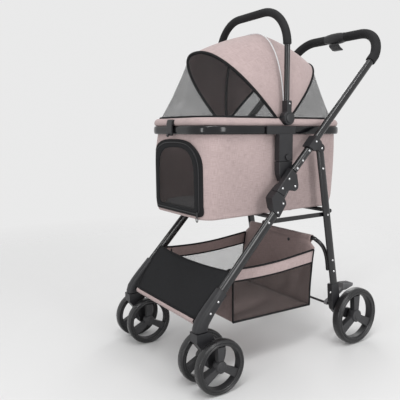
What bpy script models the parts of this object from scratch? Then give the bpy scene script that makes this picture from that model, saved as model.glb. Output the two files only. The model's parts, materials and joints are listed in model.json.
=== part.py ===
"""Pet stroller: a folding four-wheel frame that holds a lift-off soft carrier with a canopy.

Metres, +Z up. The stroller faces -Y, and +X is its left side. Places are first given with Y = 0 at
the carrier hubs, and the whole model then hangs from one empty that centres it over the origin.
"""
import math

import bmesh
import bpy
from mathutils import Vector
from mathutils.geometry import tessellate_polygon

GAP = 0.0004            # clearance between touching pieces

# ---- Driving dimensions: wheels ----
FRONT_WHEEL_R = 0.075
FRONT_TYRE_W = 0.026
REAR_WHEEL_R = 0.092
REAR_TYRE_W = 0.030
WHEEL_FACETS = 24
AXLE_R = 0.004
CASTER_X = 0.2058       # swivel axis
CASTER_Y = -0.3384
CASTER_TRAIL = 0.035    # axle behind the swivel axis
DUAL_OFFSET = 0.0425    # each front wheel from the swivel axis
REAR_WHEEL_X = 0.2227
REAR_AXLE_Y = 0.2566

# ---- Driving dimensions: frame ----
FRAME_X = 0.2058        # centre plane of the front legs and the handle tubes
LEG_TUBE = (0.0080, 0.0145)          # half sizes of a front leg's oval tube: across, deep
REAR_LEG_X = 0.198
REAR_TUBE = (0.0065, 0.0142)
LATCH_X0, LATCH_X1 = 0.1940, 0.2160
PLATE_X0, PLATE_X1 = 0.1840, 0.1934
LINK_X0, LINK_X1 = 0.1856, 0.1908
TUBE_ANGLE = math.radians(46.6)     # front legs and latches from level
HANDLE_ANGLE = math.radians(45.94)  # handle tubes from level
FOLD_PIVOT = (-0.0105, 0.5356)      # (Y, Z)
LEG_PIVOT = (0.1052, 0.6450)
LINK_FRONT = (-0.1054, 0.4334)
LINK_REAR = (0.1410, 0.4356)
REAR_LEG_END = (0.1810, 0.2080)
HANDLE_START = (-0.0115, 0.5794)    # on the handle tubes' line, at the latch
HANDLE_RUN = 0.505                  # straight length of a handle tube
HANDLE_CORNER_R = 0.097
HANDLE_CORNER_ANGLE = math.radians(64)
GRIP_R = 0.0160
GRIP_LAP = 0.030                    # grip on the straight tube
CONSOLE_HALF = 0.046
CONSOLE_R = 0.0210
LEVER_HALF = 0.0240
HANDLE_TUBE_R = 0.0118
LEG_TOP = (-0.0817, 0.4585)         # front leg axis below the latch
LEG_BOTTOM = (-0.2667, 0.2628)
SOCKET_HALF = 0.0158                # half the width of a front leg's socket
CROSS_TUBE_Z, CROSS_TUBE_R = 0.4478, 0.0068
REAR_CROSS_Z = 0.4450
FRONT_CROSS_Y = -0.0760
LOWER_ROD, LOWER_ROD_R = (-0.3340, 0.1815), 0.0055
HOOP_HALF, HOOP_R = 0.1785, 0.0065

# ---- Driving dimensions: brake ----
BRAKE_ROD, BRAKE_ROD_R = (0.1800, 0.1340), 0.0040
BRAKE_REACH = 0.1835
PEDAL_X0, PEDAL_X1 = 0.1520, 0.1800

# ---- Driving dimensions: carrier ----
HUB_Y, HUB_Z = -0.010, 0.735
RIM_CENTRE_Y = -0.020
RIM_HALF_LENGTH, RIM_HALF_WIDTH, RIM_CORNER = 0.285, 0.172, 0.085
RIM_BAR_W, RIM_BAR_H = 0.0115, 0.0245
RIM_Z = 0.700
CARRIER_BOTTOM = 0.4560
CARRIER_TOP = 0.7320
CLOTH = 0.0035
DOOR_HALF, DOOR_LOW, DOOR_HIGH = 0.126, 0.464, 0.672
CARRY_X, CARRY_TOP, CARRY_CORNER = 0.1725, 1.060, 0.110
CARRY_TUBE_R, CARRY_GRIP_R = 0.0085, 0.0125
HUB_TOP = 0.787
POST_X0, POST_X1 = 0.1665, 0.1885
PLUG_X0, PLUG_X1 = 0.1715, 0.1778
HUB_R = 0.0205

# bow: (half width, height, tilt towards the front in degrees, squareness, foot Y)
FRONT_BOW = (0.1515, 0.2824, 43.9, 2.36, -0.021)
MIDDLE_BOW = (0.1505, 0.2770, 2.7, 2.56, 0.000)
REAR_BOW = (0.1550, 0.2730, -42.8, 2.55, 0.008)
BOW_Z = 0.725
CANOPY_BASE = 0.7330

# ---- Driving dimensions: basket ----
BASKET_HALF = 0.1765
BASKET_SIDE = [(-0.2309, 0.3045), (-0.2389, 0.2955), (-0.2085, 0.2620), (-0.2085, 0.1515), (0.0925, 0.1495),
               (0.1155, 0.3525), (0.1120, 0.3525), (0.1031, 0.3325), (0.0902, 0.3239)]
BASKET_TRAY = [(0.1150, 0.3520), (0.0920, 0.1500), (-0.2080, 0.1520), (-0.2080, 0.2700), (-0.2050, 0.2700),
               (-0.2050, 0.1550), (0.0889, 0.1530), (0.1115, 0.3520)]
FRONT_PANEL = [(-0.2320, 0.3060), (-0.3330, 0.1940), (-0.3308, 0.1920), (-0.2298, 0.3040)]


def clear_scene():
    for obj in list(bpy.data.objects):
        bpy.data.objects.remove(obj)


def material(name, colour, roughness, metallic=0.0):
    made = bpy.data.materials.new(name)
    made.use_nodes = True
    shader = made.node_tree.nodes["Principled BSDF"]
    shader.inputs["Base Color"].default_value = (*colour, 1.0)
    shader.inputs["Roughness"].default_value = roughness
    shader.inputs["Metallic"].default_value = metallic
    return made


def materials():
    return {
        "tube": material("black_tube", (0.012, 0.012, 0.013), 0.25, 0.6),
        "plastic": material("black_plastic", (0.020, 0.020, 0.022), 0.45),
        "tyre": material("tyre", (0.015, 0.015, 0.016), 0.75),
        "foam": material("foam_grip", (0.012, 0.012, 0.012), 0.85),
        "steel": material("steel", (0.55, 0.55, 0.56), 0.3, 1.0),
        "fabric": material("pink_fabric", (0.48, 0.37, 0.35), 0.9),
        "mesh": material("black_mesh", (0.03, 0.03, 0.03), 0.9),
        "pad": material("pad_fabric", (0.22, 0.22, 0.23), 0.95),
        "grey": material("grey_plastic", (0.20, 0.20, 0.21), 0.4),
    }


# ---------------------------------------------------------------- mesh helpers

def add_object(name, vertices, faces, finish, origin=(0.0, 0.0, 0.0)):
    """One object from world places, with its origin at a given point and its faces pointing out."""
    start = Vector(origin)
    mesh = bpy.data.meshes.new(name)
    mesh.from_pydata([Vector(v) - start for v in vertices], [], faces)
    shell = bmesh.new()
    shell.from_mesh(mesh)
    bmesh.ops.recalc_face_normals(shell, faces=shell.faces)
    if shell.calc_volume(signed=True) < 0:
        bmesh.ops.reverse_faces(shell, faces=shell.faces)
    shell.to_mesh(mesh)
    shell.free()
    mesh.shade_smooth()
    mesh.set_sharp_from_angle(angle=math.radians(38))
    mesh.materials.append(finish)
    obj = bpy.data.objects.new(name, mesh)
    obj.location = start
    bpy.context.scene.collection.objects.link(obj)
    return obj


def mirrored(points):
    return [(-x, y, z) for x, y, z in points]


def path_frames(points):
    """(place, side, up) along a path, turned as little as possible from point to point."""
    places = [Vector(p) for p in points]
    frames = []
    side = None
    for i, place in enumerate(places):
        before = places[max(i - 1, 0)]
        after = places[min(i + 1, len(places) - 1)]
        along = (after - before).normalized()
        if side is None:
            side = along.orthogonal().normalized()
        side = (side - along * side.dot(along)).normalized()
        frames.append((place, side, along.cross(side)))
    return frames


def ring(frame, wide, high, sides):
    place, side, up = frame
    turns = [2 * math.pi * (k + 0.5) / sides for k in range(sides)]
    return [place + side * wide * math.cos(t) + up * high * math.sin(t) for t in turns]


def skin(rings, closed=False):
    """Vertices and quads over a row of equal rings, with caps at both ends unless it is closed."""
    count = len(rings[0])
    vertices = [p for one in rings for p in one]
    faces = []
    last = len(rings) if closed else len(rings) - 1
    for i in range(last):
        a, b = i * count, ((i + 1) % len(rings)) * count
        for k in range(count):
            n = (k + 1) % count
            faces.append((a + k, a + n, b + n, b + k))
    if not closed:
        faces.append(tuple(range(count)))
        faces.append(tuple(range((len(rings) - 1) * count, len(rings) * count)))
    return vertices, faces


def tube(name, points, radius, finish, sides=10, origin=(0, 0, 0)):
    vertices, faces = skin([ring(f, radius, radius, sides) for f in path_frames(points)])
    return add_object(name, vertices, faces, finish, origin)


def oval_tube(name, x, start, end, section, finish, sides=14, origin=(0, 0, 0)):
    """A straight oval tube in a plane of constant X, from (Y, Z) to (Y, Z)."""
    along = Vector((0.0, end[0] - start[0], end[1] - start[1])).normalized()
    across = Vector((1.0, 0.0, 0.0))
    deep = along.cross(across)
    rings = [ring((Vector((x, *p)), across, deep), section[0], section[1], sides) for p in (start, end)]
    vertices, faces = skin(rings)
    return add_object(name, vertices, faces, finish, origin)


def sleeve(name, frames, outer, inner, finish, sides=10, origin=(0, 0, 0)):
    """A hollow tube over part of a path, open at both ends."""
    outside = [ring(f, outer, outer, sides) for f in frames]
    inside = [ring(f, inner, inner, sides) for f in reversed(frames)]
    vertices, faces = skin(outside + inside, closed=True)
    return add_object(name, vertices, faces, finish, origin)


def arc(centre, radius, start, end, steps):
    """Points (Y, Z) on an arc, with angles in degrees from +Y towards +Z."""
    turns = [math.radians(start + (end - start) * k / steps) for k in range(steps + 1)]
    return [(centre[0] + radius * math.cos(t), centre[1] + radius * math.sin(t)) for t in turns]


def prism(outline, x0, x1, holes=()):
    """Vertices and faces of a (Y, Z) outline with holes, extruded from x0 to x1."""
    loops = [list(outline)] + [list(h) for h in holes]
    flat = [p for loop in loops for p in loop]
    count = len(flat)
    vertices = [(x0, y, z) for y, z in flat] + [(x1, y, z) for y, z in flat]
    triangles = tessellate_polygon([[Vector((y, z, 0)) for y, z in loop] for loop in loops])
    faces = [tuple(t) for t in triangles]
    faces += [tuple(k + count for k in reversed(t)) for t in triangles]
    first = 0
    for loop in loops:
        size = len(loop)
        for k in range(size):
            a, b = first + k, first + (k + 1) % size
            faces.append((a, b, b + count, a + count))
        first += size
    return vertices, faces


def plate(name, outline, x0, x1, finish, holes=(), origin=(0, 0, 0)):
    vertices, faces = prism(outline, x0, x1, holes)
    return add_object(name, vertices, faces, finish, origin)


def box(name, low, high, finish, origin=(0, 0, 0)):
    outline = [(low[1], low[2]), (high[1], low[2]), (high[1], high[2]), (low[1], high[2])]
    return plate(name, outline, low[0], high[0], finish, origin=origin)


def turned(name, centre, profile, sides, finish, closed=False, origin=(0, 0, 0)):
    """A solid turned about a line along X through centre; the profile holds (x, radius)."""
    rings = []
    for x, radius in profile:
        turns = [2 * math.pi * (k + 0.5) / sides for k in range(sides)]
        rings.append([(x, centre[0] + radius * math.sin(t), centre[1] - radius * math.cos(t))
                      for t in turns])
    vertices, faces = skin(rings, closed)
    return add_object(name, vertices, faces, finish, origin)


def cutter(obj):
    obj.hide_render = True
    obj.display_type = "WIRE"
    return obj


def combine(obj, other, operation):
    """A Boolean that stays on the object; the other object becomes a hidden helper."""
    cutter(other)
    step = obj.modifiers.new(operation.lower(), "BOOLEAN")
    step.operation = operation
    step.object = other
    step.solver = "EXACT"
    return obj


def rounded(obj, width, segments=1, limit=40):
    step = obj.modifiers.new("edges", "BEVEL")
    step.width = width
    step.segments = segments
    step.limit_method = "ANGLE"
    step.angle_limit = math.radians(limit)
    return obj


def sides():
    """Name ending and sign of each side."""
    return (("left", 1), ("right", -1))


def span(sign, x0, x1):
    """An X range on one side, lowest first."""
    return (x0, x1) if sign > 0 else (-x1, -x0)


def at_angle(start, distance, angle):
    return (start[0] + distance * math.cos(angle), start[1] + distance * math.sin(angle))


# ---------------------------------------------------------------- wheels

def facet_radius(radius):
    """Corner radius of a polygon whose flats touch a circle."""
    return radius / math.cos(math.pi / WHEEL_FACETS)


def tyre(name, x, centre, radius, width, finish):
    outer = facet_radius(radius)
    inner = outer * 0.80
    half = width / 2
    shoulder = outer * 0.94
    profile = [(x - half * 0.55, outer), (x + half * 0.55, outer), (x + half, shoulder),
               (x + half * 0.8, inner), (x - half * 0.8, inner), (x - half, shoulder)]
    return turned(name, centre, profile, WHEEL_FACETS, finish, closed=True, origin=(x, *centre))


def rim(name, x, centre, radius, width, finish):
    """A wheel centre with three broad spokes between a hub and an outer band."""
    outer = facet_radius(radius) * 0.80 - GAP
    window_out = radius * 0.745
    window_in = radius * 0.27
    half_spoke = 19
    outline = [(centre[0] + outer * math.sin(2 * math.pi * (k + 0.5) / WHEEL_FACETS),
                centre[1] - outer * math.cos(2 * math.pi * (k + 0.5) / WHEEL_FACETS))
               for k in range(WHEEL_FACETS)]
    holes = [arc(centre, AXLE_R + GAP, 0, 315, 7)]
    for spoke in (90, 210, 330):
        start, end = spoke + half_spoke, spoke + 120 - half_spoke
        holes.append(arc(centre, window_out, start, end, 6)
                     + arc(centre, window_in, end - 12, start + 12, 3))
    return plate(name, outline, x - width * 0.34, x + width * 0.34, finish, holes,
                 origin=(x, *centre))


def build_wheels(mats):
    rear = (REAR_AXLE_Y, REAR_WHEEL_R)
    front = (CASTER_Y + CASTER_TRAIL, FRONT_WHEEL_R)
    for side, sign in sides():
        x = sign * REAR_WHEEL_X
        tyre(f"rear_tyre_{side}", x, rear, REAR_WHEEL_R, REAR_TYRE_W, mats["tyre"])
        rim(f"rear_wheel_{side}", x, rear, REAR_WHEEL_R, REAR_TYRE_W, mats["plastic"])
        x0, x1 = span(sign, 0.1850, REAR_WHEEL_X + 0.012)
        turned(f"rear_axle_{side}", rear, [(x0, AXLE_R), (x1, AXLE_R)], 8, mats["steel"],
               origin=(x, *rear))
        for place, step in (("outer", 1), ("inner", -1)):
            x = sign * (CASTER_X + step * DUAL_OFFSET)
            tyre(f"front_tyre_{side}_{place}", x, front, FRONT_WHEEL_R, FRONT_TYRE_W, mats["tyre"])
            rim(f"front_wheel_{side}_{place}", x, front, FRONT_WHEEL_R, FRONT_TYRE_W,
                mats["plastic"])
        reach = DUAL_OFFSET + 0.011
        x0, x1 = span(sign, CASTER_X - reach, CASTER_X + reach)
        turned(f"front_axle_{side}", front, [(x0, AXLE_R), (x1, AXLE_R)], 8, mats["steel"],
               origin=(sign * CASTER_X, *front))


# ---------------------------------------------------------------- lower frame

def build_casters(mats):
    axle = (CASTER_Y + CASTER_TRAIL, FRONT_WHEEL_R)
    outline = [(CASTER_Y - 0.021, 0.1640), (CASTER_Y - 0.020, 0.1380), (CASTER_Y + 0.004, 0.1080)]
    outline += arc(axle, 0.020, 175, 350, 6)
    outline += [(CASTER_Y + 0.052, 0.1150), (CASTER_Y + 0.034, 0.1450), (CASTER_Y + 0.021, 0.1640)]
    bore = arc(axle, AXLE_R + GAP, 0, 315, 7)
    for side, sign in sides():
        x0, x1 = span(sign, CASTER_X - 0.0175, CASTER_X + 0.0175)
        plate(f"caster_fork_{side}", outline, x0, x1, mats["plastic"], [bore],
              origin=(sign * CASTER_X, CASTER_Y, 0.1645))


def build_front_legs(mats):
    normal = (-math.sin(TUBE_ANGLE), math.cos(TUBE_ANGLE))
    top = LEG_BOTTOM
    half = LEG_TUBE[1] + 0.0020
    socket = [(top[0] + normal[0] * half, top[1] + normal[1] * half),
              (-0.3200, 0.2300), (-0.3450, 0.2030), (-0.3600, 0.1820), (-0.3600, 0.1652),
              (-0.3170, 0.1652), (-0.3080, 0.1960),
              (top[0] - normal[0] * half, top[1] - normal[1] * half)]
    for side, sign in sides():
        x = sign * FRAME_X
        start = at_angle(LEG_TOP, -0.0005, TUBE_ANGLE)
        end = at_angle(LEG_BOTTOM, 0.0006, TUBE_ANGLE)
        oval_tube(f"front_leg_{side}", x, start, end, LEG_TUBE, mats["tube"])
        x0, x1 = span(sign, CASTER_X - SOCKET_HALF, CASTER_X + SOCKET_HALF)
        rounded(plate(f"front_socket_{side}", socket, x0, x1, mats["plastic"]), 0.0055)


def build_latches(mats):
    """Fold latch halves. The upper one swings with the handle about the ear behind the tubes."""
    upper = [(-0.0800, 0.5250), (-0.0535, 0.5092), (-0.0400, 0.5215), (-0.0235, 0.5262)]
    upper += arc(FOLD_PIVOT, 0.0145, 235, 375, 5)
    upper += [(-0.0023, 0.5701), (-0.0220, 0.5886)]
    lower = [(-0.0808, 0.5242), (-0.1005, 0.5068), (-0.0926, 0.4688), (-0.0708, 0.4482),
             (-0.0446, 0.4848), (-0.0467, 0.4929), (-0.0543, 0.5084)]
    inner = [(-0.0850, 0.5200), (-0.0970, 0.5050), (-0.0900, 0.4740), (-0.0740, 0.4560),
             (-0.0530, 0.4800), (-0.0190, 0.5230)]
    inner += arc(FOLD_PIVOT, 0.0120, -60, 90, 4)
    inner += [(-0.0400, 0.5480), (-0.0620, 0.5400)]
    for side, sign in sides():
        x0, x1 = span(sign, LATCH_X0, LATCH_X1)
        top = plate(f"latch_upper_{side}", upper, x0, x1, mats["plastic"],
                    origin=(sign * FRAME_X, *FOLD_PIVOT))
        rounded(top, 0.0022)
        a0, a1 = span(sign, LATCH_X0 - 0.0002, LATCH_X1)
        base = plate(f"latch_lower_{side}", lower, a0, a1, mats["plastic"])
        p0, p1 = span(sign, PLATE_X0, PLATE_X1 + 0.0008)
        keep = span(sign, PLATE_X0, PLATE_X1)
        inner_plate = plate(f"latch_plate_{side}", inner, keep[0], keep[1], mats["plastic"])
        bridge = box(f"latch_bridge_{side}", (p0, -0.0880, 0.4850), (p1, -0.0600, 0.5050),
                     mats["plastic"])
        combine(base, inner_plate, "UNION")
        combine(base, bridge, "UNION")


def build_cross_tubes(mats):
    reach = LATCH_X0 - GAP
    tube("front_cross_tube", [(-reach, FRONT_CROSS_Y, CROSS_TUBE_Z),
                              (reach, FRONT_CROSS_Y, CROSS_TUBE_Z)],
         CROSS_TUBE_R, mats["tube"], 8)
    reach = CASTER_X - SOCKET_HALF - GAP
    tube("front_lower_rod", [(-reach, *LOWER_ROD), (reach, *LOWER_ROD)], LOWER_ROD_R,
         mats["tube"], 8)


def build_receivers(mats):
    outline = [(-0.0500, 0.6080), (0.0026, 0.6080), (0.0026, 0.5800), (-0.0080, 0.5484),
               (-0.0390, 0.5484), (-0.0480, 0.5700)]
    pocket = (-0.0215, -0.0005)
    for side, sign in sides():
        x0, x1 = span(sign, POST_X0, POST_X1)
        body = plate(f"carrier_receiver_{side}", outline, x0, x1, mats["plastic"])
        c0, c1 = span(sign, PLUG_X0 - 0.0010, PLUG_X1 + 0.0010)
        hole = box(f"receiver_pocket_{side}", (c0, pocket[0], 0.5780), (c1, pocket[1], 0.6200),
                   mats["plastic"])
        combine(body, hole, "DIFFERENCE")


# ---------------------------------------------------------------- handle

def handle_path():
    """Left tube, corner, cross bar, corner and right tube of the push handle, as one U."""
    along = (math.cos(HANDLE_CORNER_ANGLE), math.sin(HANDLE_CORNER_ANGLE))
    foot = at_angle(HANDLE_START, GAP, HANDLE_ANGLE)
    bend = at_angle(HANDLE_START, HANDLE_RUN, HANDLE_ANGLE)
    points = [(FRAME_X, *foot)]
    for distance in (0.20, 0.40, HANDLE_RUN - GRIP_LAP, HANDLE_RUN - 0.012):
        points.append((FRAME_X, *at_angle(HANDLE_START, distance, HANDLE_ANGLE)))
    for k in range(1, 9):
        turn = math.radians(90 * k / 8)
        rise = HANDLE_CORNER_R * math.sin(turn)
        inward = HANDLE_CORNER_R * (1 - math.cos(turn))
        points.append((FRAME_X - inward, bend[0] + rise * along[0], bend[1] + rise * along[1]))
    last = points[-1]
    points.append((CONSOLE_HALF + GAP, last[1], last[2]))
    return points + mirrored(reversed(points))


def build_handle(mats):
    points = handle_path()
    frames = path_frames(points)
    tube_r = HANDLE_TUBE_R
    vertices, faces = skin([ring(f, tube_r, tube_r, 10) for f in frames])
    pivot = (0.0, *FOLD_PIVOT)
    add_object("push_handle_tube", vertices, faces, mats["tube"], pivot)
    half = len(points) // 2
    sleeve("handle_grip_left", frames[3:half], GRIP_R, tube_r + GAP, mats["foam"], origin=pivot)
    sleeve("handle_grip_right", frames[half:-3], GRIP_R, tube_r + GAP, mats["foam"], origin=pivot)
    bar = points[half][1:]
    outline = arc(bar, CONSOLE_R, -20, 200, 10) + [(bar[0] - 0.0170, bar[1] - 0.0190),
                                                (bar[0] + 0.0170, bar[1] - 0.0190)]
    bore = arc(bar, tube_r + 0.0008, 0, 324, 9)
    plate("handle_console", outline, -CONSOLE_HALF, CONSOLE_HALF, mats["plastic"], [bore],
          origin=pivot)
    hinge = (0.0, bar[0] - 0.0120, bar[1] - 0.0235)
    lever = [(bar[0] - 0.0160, bar[1] - 0.0202), (bar[0] - 0.0165, bar[1] - 0.0275),
             (bar[0] + 0.0020, bar[1] - 0.0410), (bar[0] + 0.0160, bar[1] - 0.0420),
             (bar[0] + 0.0170, bar[1] - 0.0385), (bar[0] + 0.0030, bar[1] - 0.0310),
             (bar[0] - 0.0080, bar[1] - 0.0202)]
    plate("fold_lever", lever, -LEVER_HALF, LEVER_HALF, mats["grey"], origin=hinge)
    for side, sign in sides():
        build_leg_bracket(mats, side, sign)


def build_leg_bracket(mats, side, sign):
    """A saddle round the handle tube, with two ears that hold the top of the rear leg."""
    along = (math.cos(HANDLE_ANGLE), math.sin(HANDLE_ANGLE))
    saddle = []
    for distance, out in ((0.0870, 0.0150), (0.0950, -0.0155), (0.1330, -0.0155), (0.1300, 0.0150)):
        saddle.append((HANDLE_START[0] + distance * along[0] - out * along[1],
                       HANDLE_START[1] + distance * along[1] + out * along[0]))
    ear = [(0.0620, 0.6560), (0.0700, 0.6460), (0.0880, 0.6395)]
    ear += arc(LEG_PIVOT, 0.0125, -110, 50, 5)
    ear += [(0.0940, 0.6690), (0.0850, 0.6740)]
    pivot = (sign * FRAME_X, *LEG_PIVOT)
    x0, x1 = span(sign, 0.1908, 0.2208)
    body = plate(f"leg_bracket_{side}", saddle, x0, x1, mats["plastic"], origin=pivot)
    start = (sign * FRAME_X, *at_angle(HANDLE_START, 0.0, HANDLE_ANGLE))
    end = (sign * FRAME_X, *at_angle(HANDLE_START, 0.30, HANDLE_ANGLE))
    bore = tube(f"bracket_bore_{side}", [start, end], HANDLE_TUBE_R + 0.0009, mats["plastic"], 14)
    for k, (near, far) in enumerate(((0.1882, 0.1909), (0.2051, 0.2079))):
        e0, e1 = span(sign, near, far)
        plate_piece = plate(f"bracket_ear_{side}_{k}", ear, e0, e1, mats["plastic"])
        combine(body, plate_piece, "UNION")
    combine(body, bore, "DIFFERENCE")


# ---------------------------------------------------------------- rear legs and brake

def leg_y(z):
    """Y of the rear leg's axis at a height."""
    slope = (REAR_LEG_END[0] - LEG_PIVOT[0]) / (LEG_PIVOT[1] - REAR_LEG_END[1])
    return LEG_PIVOT[0] + (LEG_PIVOT[1] - z) * slope


def build_rear_legs(mats):
    axle = (REAR_AXLE_Y, REAR_WHEEL_R)
    foot = [(0.1655, 0.2048), (0.1690, 0.1500), (0.1760, 0.1200), (0.1950, 0.1020),
            (0.2300, 0.0840)]
    foot += arc(axle, 0.0180, 235, 450, 7)
    foot += [(0.2300, 0.1170), (0.2050, 0.1500), (0.1968, 0.2100)]
    bore = arc(axle, AXLE_R + GAP, 0, 315, 7)
    pivot = (0.0, *LEG_PIVOT)
    for side, sign in sides():
        x = sign * REAR_LEG_X
        top = 0.6560
        oval_tube(f"rear_leg_{side}", x, (leg_y(top), top), REAR_LEG_END, REAR_TUBE, mats["tube"],
                  origin=pivot)
        x0, x1 = span(sign, 0.1845, 0.2050)
        plate(f"rear_foot_{side}", foot, x0, x1, mats["plastic"], [bore], origin=pivot)
    bar_y = leg_y(REAR_CROSS_Z) + REAR_TUBE[1] + CROSS_TUBE_R + 0.0010
    reach = REAR_LEG_X - 0.002
    tube("rear_cross_tube", [(-reach, bar_y, REAR_CROSS_Z), (reach, bar_y, REAR_CROSS_Z)],
         CROSS_TUBE_R, mats["tube"], 8, pivot)
    build_basket_hoop(mats, pivot)


def build_basket_hoop(mats, pivot):
    """A bent tube between the rear legs that carries the basket's rear edge."""
    half = HOOP_HALF
    side = [(half, leg_y(0.245), 0.245), (half, leg_y(0.290), 0.290), (half, 0.1540, 0.3200),
            (half - 0.002, 0.1400, 0.3380), (half - 0.011, 0.1290, 0.3500),
            (half - 0.030, 0.1230, 0.3560)]
    tube("basket_hoop", side + mirrored(reversed(side)), HOOP_R, mats["tube"], 8, pivot)


def build_brake(mats):
    """Two ribbed pedals on one rod, so that both rear wheels lock together."""
    bar = turned("brake_bar", BRAKE_ROD, [(-BRAKE_REACH, BRAKE_ROD_R), (BRAKE_REACH, BRAKE_ROD_R)],
                 8, mats["steel"], origin=(0.0, *BRAKE_ROD))
    pedal = [(0.1730, 0.1280), (0.1840, 0.1260), (0.2640, 0.1640), (0.2960, 0.1740),
             (0.2960, 0.1850), (0.2500, 0.1900), (0.2420, 0.1760), (0.1730, 0.1420)]
    for side, sign in sides():
        x0, x1 = span(sign, PEDAL_X0, PEDAL_X1)
        combine(bar, plate(f"brake_pedal_{side}", pedal, x0, x1, mats["grey"]), "UNION")


def build_links(mats):
    """Flat side bars that draw the rear legs in as the handle folds."""
    half = 0.0066
    outline = arc(LINK_FRONT, half, 90, 270, 6) + arc(LINK_REAR, half, -90, 90, 6)
    for side, sign in sides():
        x0, x1 = span(sign, LINK_X0, LINK_X1)
        plate(f"side_link_{side}", outline, x0, x1, mats["tube"], origin=(x0, *LINK_FRONT))


# ---------------------------------------------------------------- basket

def build_basket(mats):
    """A fabric tray open at the top, and a sloping front panel that its side walls carry."""
    wall = 0.0035
    basket = plate("storage_basket", BASKET_TRAY, -BASKET_HALF, BASKET_HALF, mats["mesh"])
    for side, sign in sides():
        x0, x1 = span(sign, BASKET_HALF + 0.0005 - wall, BASKET_HALF + 0.0005)
        combine(basket, plate(f"basket_wall_{side}", BASKET_SIDE, x0, x1, mats["mesh"]), "UNION")
    half = BASKET_HALF + 0.0030
    combine(basket, plate("basket_front_panel", FRONT_PANEL, -half, half, mats["mesh"]), "UNION")


# ---------------------------------------------------------------- carrier

def rounded_rectangle(half_length, half_width, corner, steps):
    """(X, Y) points of a rounded rectangle, anticlockwise from the middle of its +X side."""
    points = []
    for cx, cy, start in ((1, 1, 0), (-1, 1, 90), (-1, -1, 180), (1, -1, 270)):
        for k in range(steps + 1):
            turn = math.radians(start + 90 * k / steps)
            points.append((cx * (half_width - corner) + corner * math.cos(turn),
                           cy * (half_length - corner) + corner * math.sin(turn)))
    return points


def level_ring(half_length, half_width, corner, centre_y, z, steps=5):
    return [(x, y + centre_y, z)
            for x, y in rounded_rectangle(half_length, half_width, corner, steps)]


def build_rim(mats):
    half_w, half_h = RIM_BAR_W / 2, RIM_BAR_H / 2
    profile = [(half_w, half_h * 0.55), (half_w, -half_h * 0.55), (half_w * 0.45, -half_h),
               (-half_w * 0.45, -half_h), (-half_w, -half_h * 0.55), (-half_w, half_h * 0.55),
               (-half_w * 0.45, half_h), (half_w * 0.45, half_h)]
    rings = []
    for out, up in profile:
        grow = out - half_w
        rings.append(level_ring(RIM_HALF_LENGTH + grow, RIM_HALF_WIDTH + grow, RIM_CORNER + grow,
                                RIM_CENTRE_Y, RIM_Z + up))
    vertices, faces = skin(rings, closed=True)
    add_object("carrier_rim", vertices, faces, mats["tube"])


def build_carrier_body(mats):
    """The fabric tub under the rim, with a doorway in its front wall and four feet."""
    levels = [(CARRIER_BOTTOM, 0.2530, 0.1490, 0.040, -0.030),
              (0.4900, 0.2580, 0.1520, 0.042, -0.028),
              (0.6500, 0.2690, 0.1575, 0.055, -0.021),
              (0.6840, 0.2715, 0.1585, 0.0735, -0.020),
              (CARRIER_TOP, 0.2715, 0.1585, 0.0735, -0.020)]
    outside = [level_ring(a, b, r, cy, z) for z, a, b, r, cy in levels]
    inside = []
    for z, a, b, r, cy in reversed(levels):
        lift = CLOTH if z == CARRIER_BOTTOM else 0.0
        inside.append(level_ring(a - CLOTH, b - CLOTH, r - CLOTH, cy, z + lift))
    vertices, faces = skin(outside + inside)
    body = add_object("carrier_body", vertices, faces, mats["fabric"])
    doorway = door_outline(0.0070)
    low = [(x, -0.330, z) for x, z in doorway]
    high = [(x, -0.255, z) for x, z in doorway]
    hole_vertices, hole_faces = skin([low, high])
    combine(body, add_object("doorway", hole_vertices, hole_faces, mats["fabric"]), "DIFFERENCE")
    for k, (x, y) in enumerate(((0.118, -0.215), (-0.118, -0.215), (0.118, 0.052), (-0.118, 0.052))):
        foot = tube(f"foot_{k}", [(x, y, CARRIER_BOTTOM - 0.0080), (x, y, CARRIER_BOTTOM + 0.0015)],
                    0.0120, mats["plastic"], 8)
        combine(body, foot, "UNION")


def door_outline(inset):
    """(X, Z) of the D-shaped door, less an inset all round."""
    half, low, high = DOOR_HALF - inset, DOOR_LOW + inset, DOOR_HIGH - inset
    shoulder = 0.105
    points = [(half, low + 0.012), (half - 0.012, low), (0.012 - half, low), (-half, low + 0.012)]
    for k in range(11):
        turn = math.pi * k / 10
        across = math.copysign(abs(math.cos(turn)) ** 0.8, math.cos(turn))
        points.append((-half * across, high - shoulder + shoulder * math.sin(turn) ** 0.8))
    return points


def build_door(mats):
    """The mesh door flap, zipped along its sides and top, which folds down about its lower edge."""
    front, thick = -0.2945, 0.0030
    outline = door_outline(0.0)
    near = [(x, front, z) for x, z in outline]
    far = [(x, front + thick, z) for x, z in outline]
    vertices, faces = skin([near, far])
    add_object("door_flap", vertices, faces, mats["mesh"], (0.0, front + thick, DOOR_LOW))


def build_pad(mats):
    rings = []
    low, high = CARRIER_BOTTOM + CLOTH + 0.0006, CARRIER_BOTTOM + CLOTH + 0.0210
    for z, grow in ((low, -0.006), (low + 0.006, 0.0), (high - 0.006, 0.0), (high, -0.006)):
        rings.append(level_ring(0.2440 + grow, 0.1400 + grow, 0.040 + grow, -0.030, z, 3))
    vertices, faces = skin(rings)
    add_object("carrier_pad", vertices, faces, mats["pad"])


def bow_points(bow, count):
    """A square-shouldered arch from the left foot over to the right foot."""
    width, height, tilt, square, foot_y = bow
    lean = math.radians(tilt)
    low = math.asin(((CANOPY_BASE - BOW_Z) / (height * math.cos(lean))) ** (square / 2))
    points = []
    for k in range(count):
        turn = low + (math.pi - 2 * low) * k / (count - 1)
        across = math.copysign(abs(math.cos(turn)) ** (2 / square), math.cos(turn)) * width
        rise = math.sin(turn) ** (2 / square) * height
        points.append(Vector((across, foot_y - rise * math.sin(lean),
                              BOW_Z + rise * math.cos(lean))))
    return points


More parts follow.
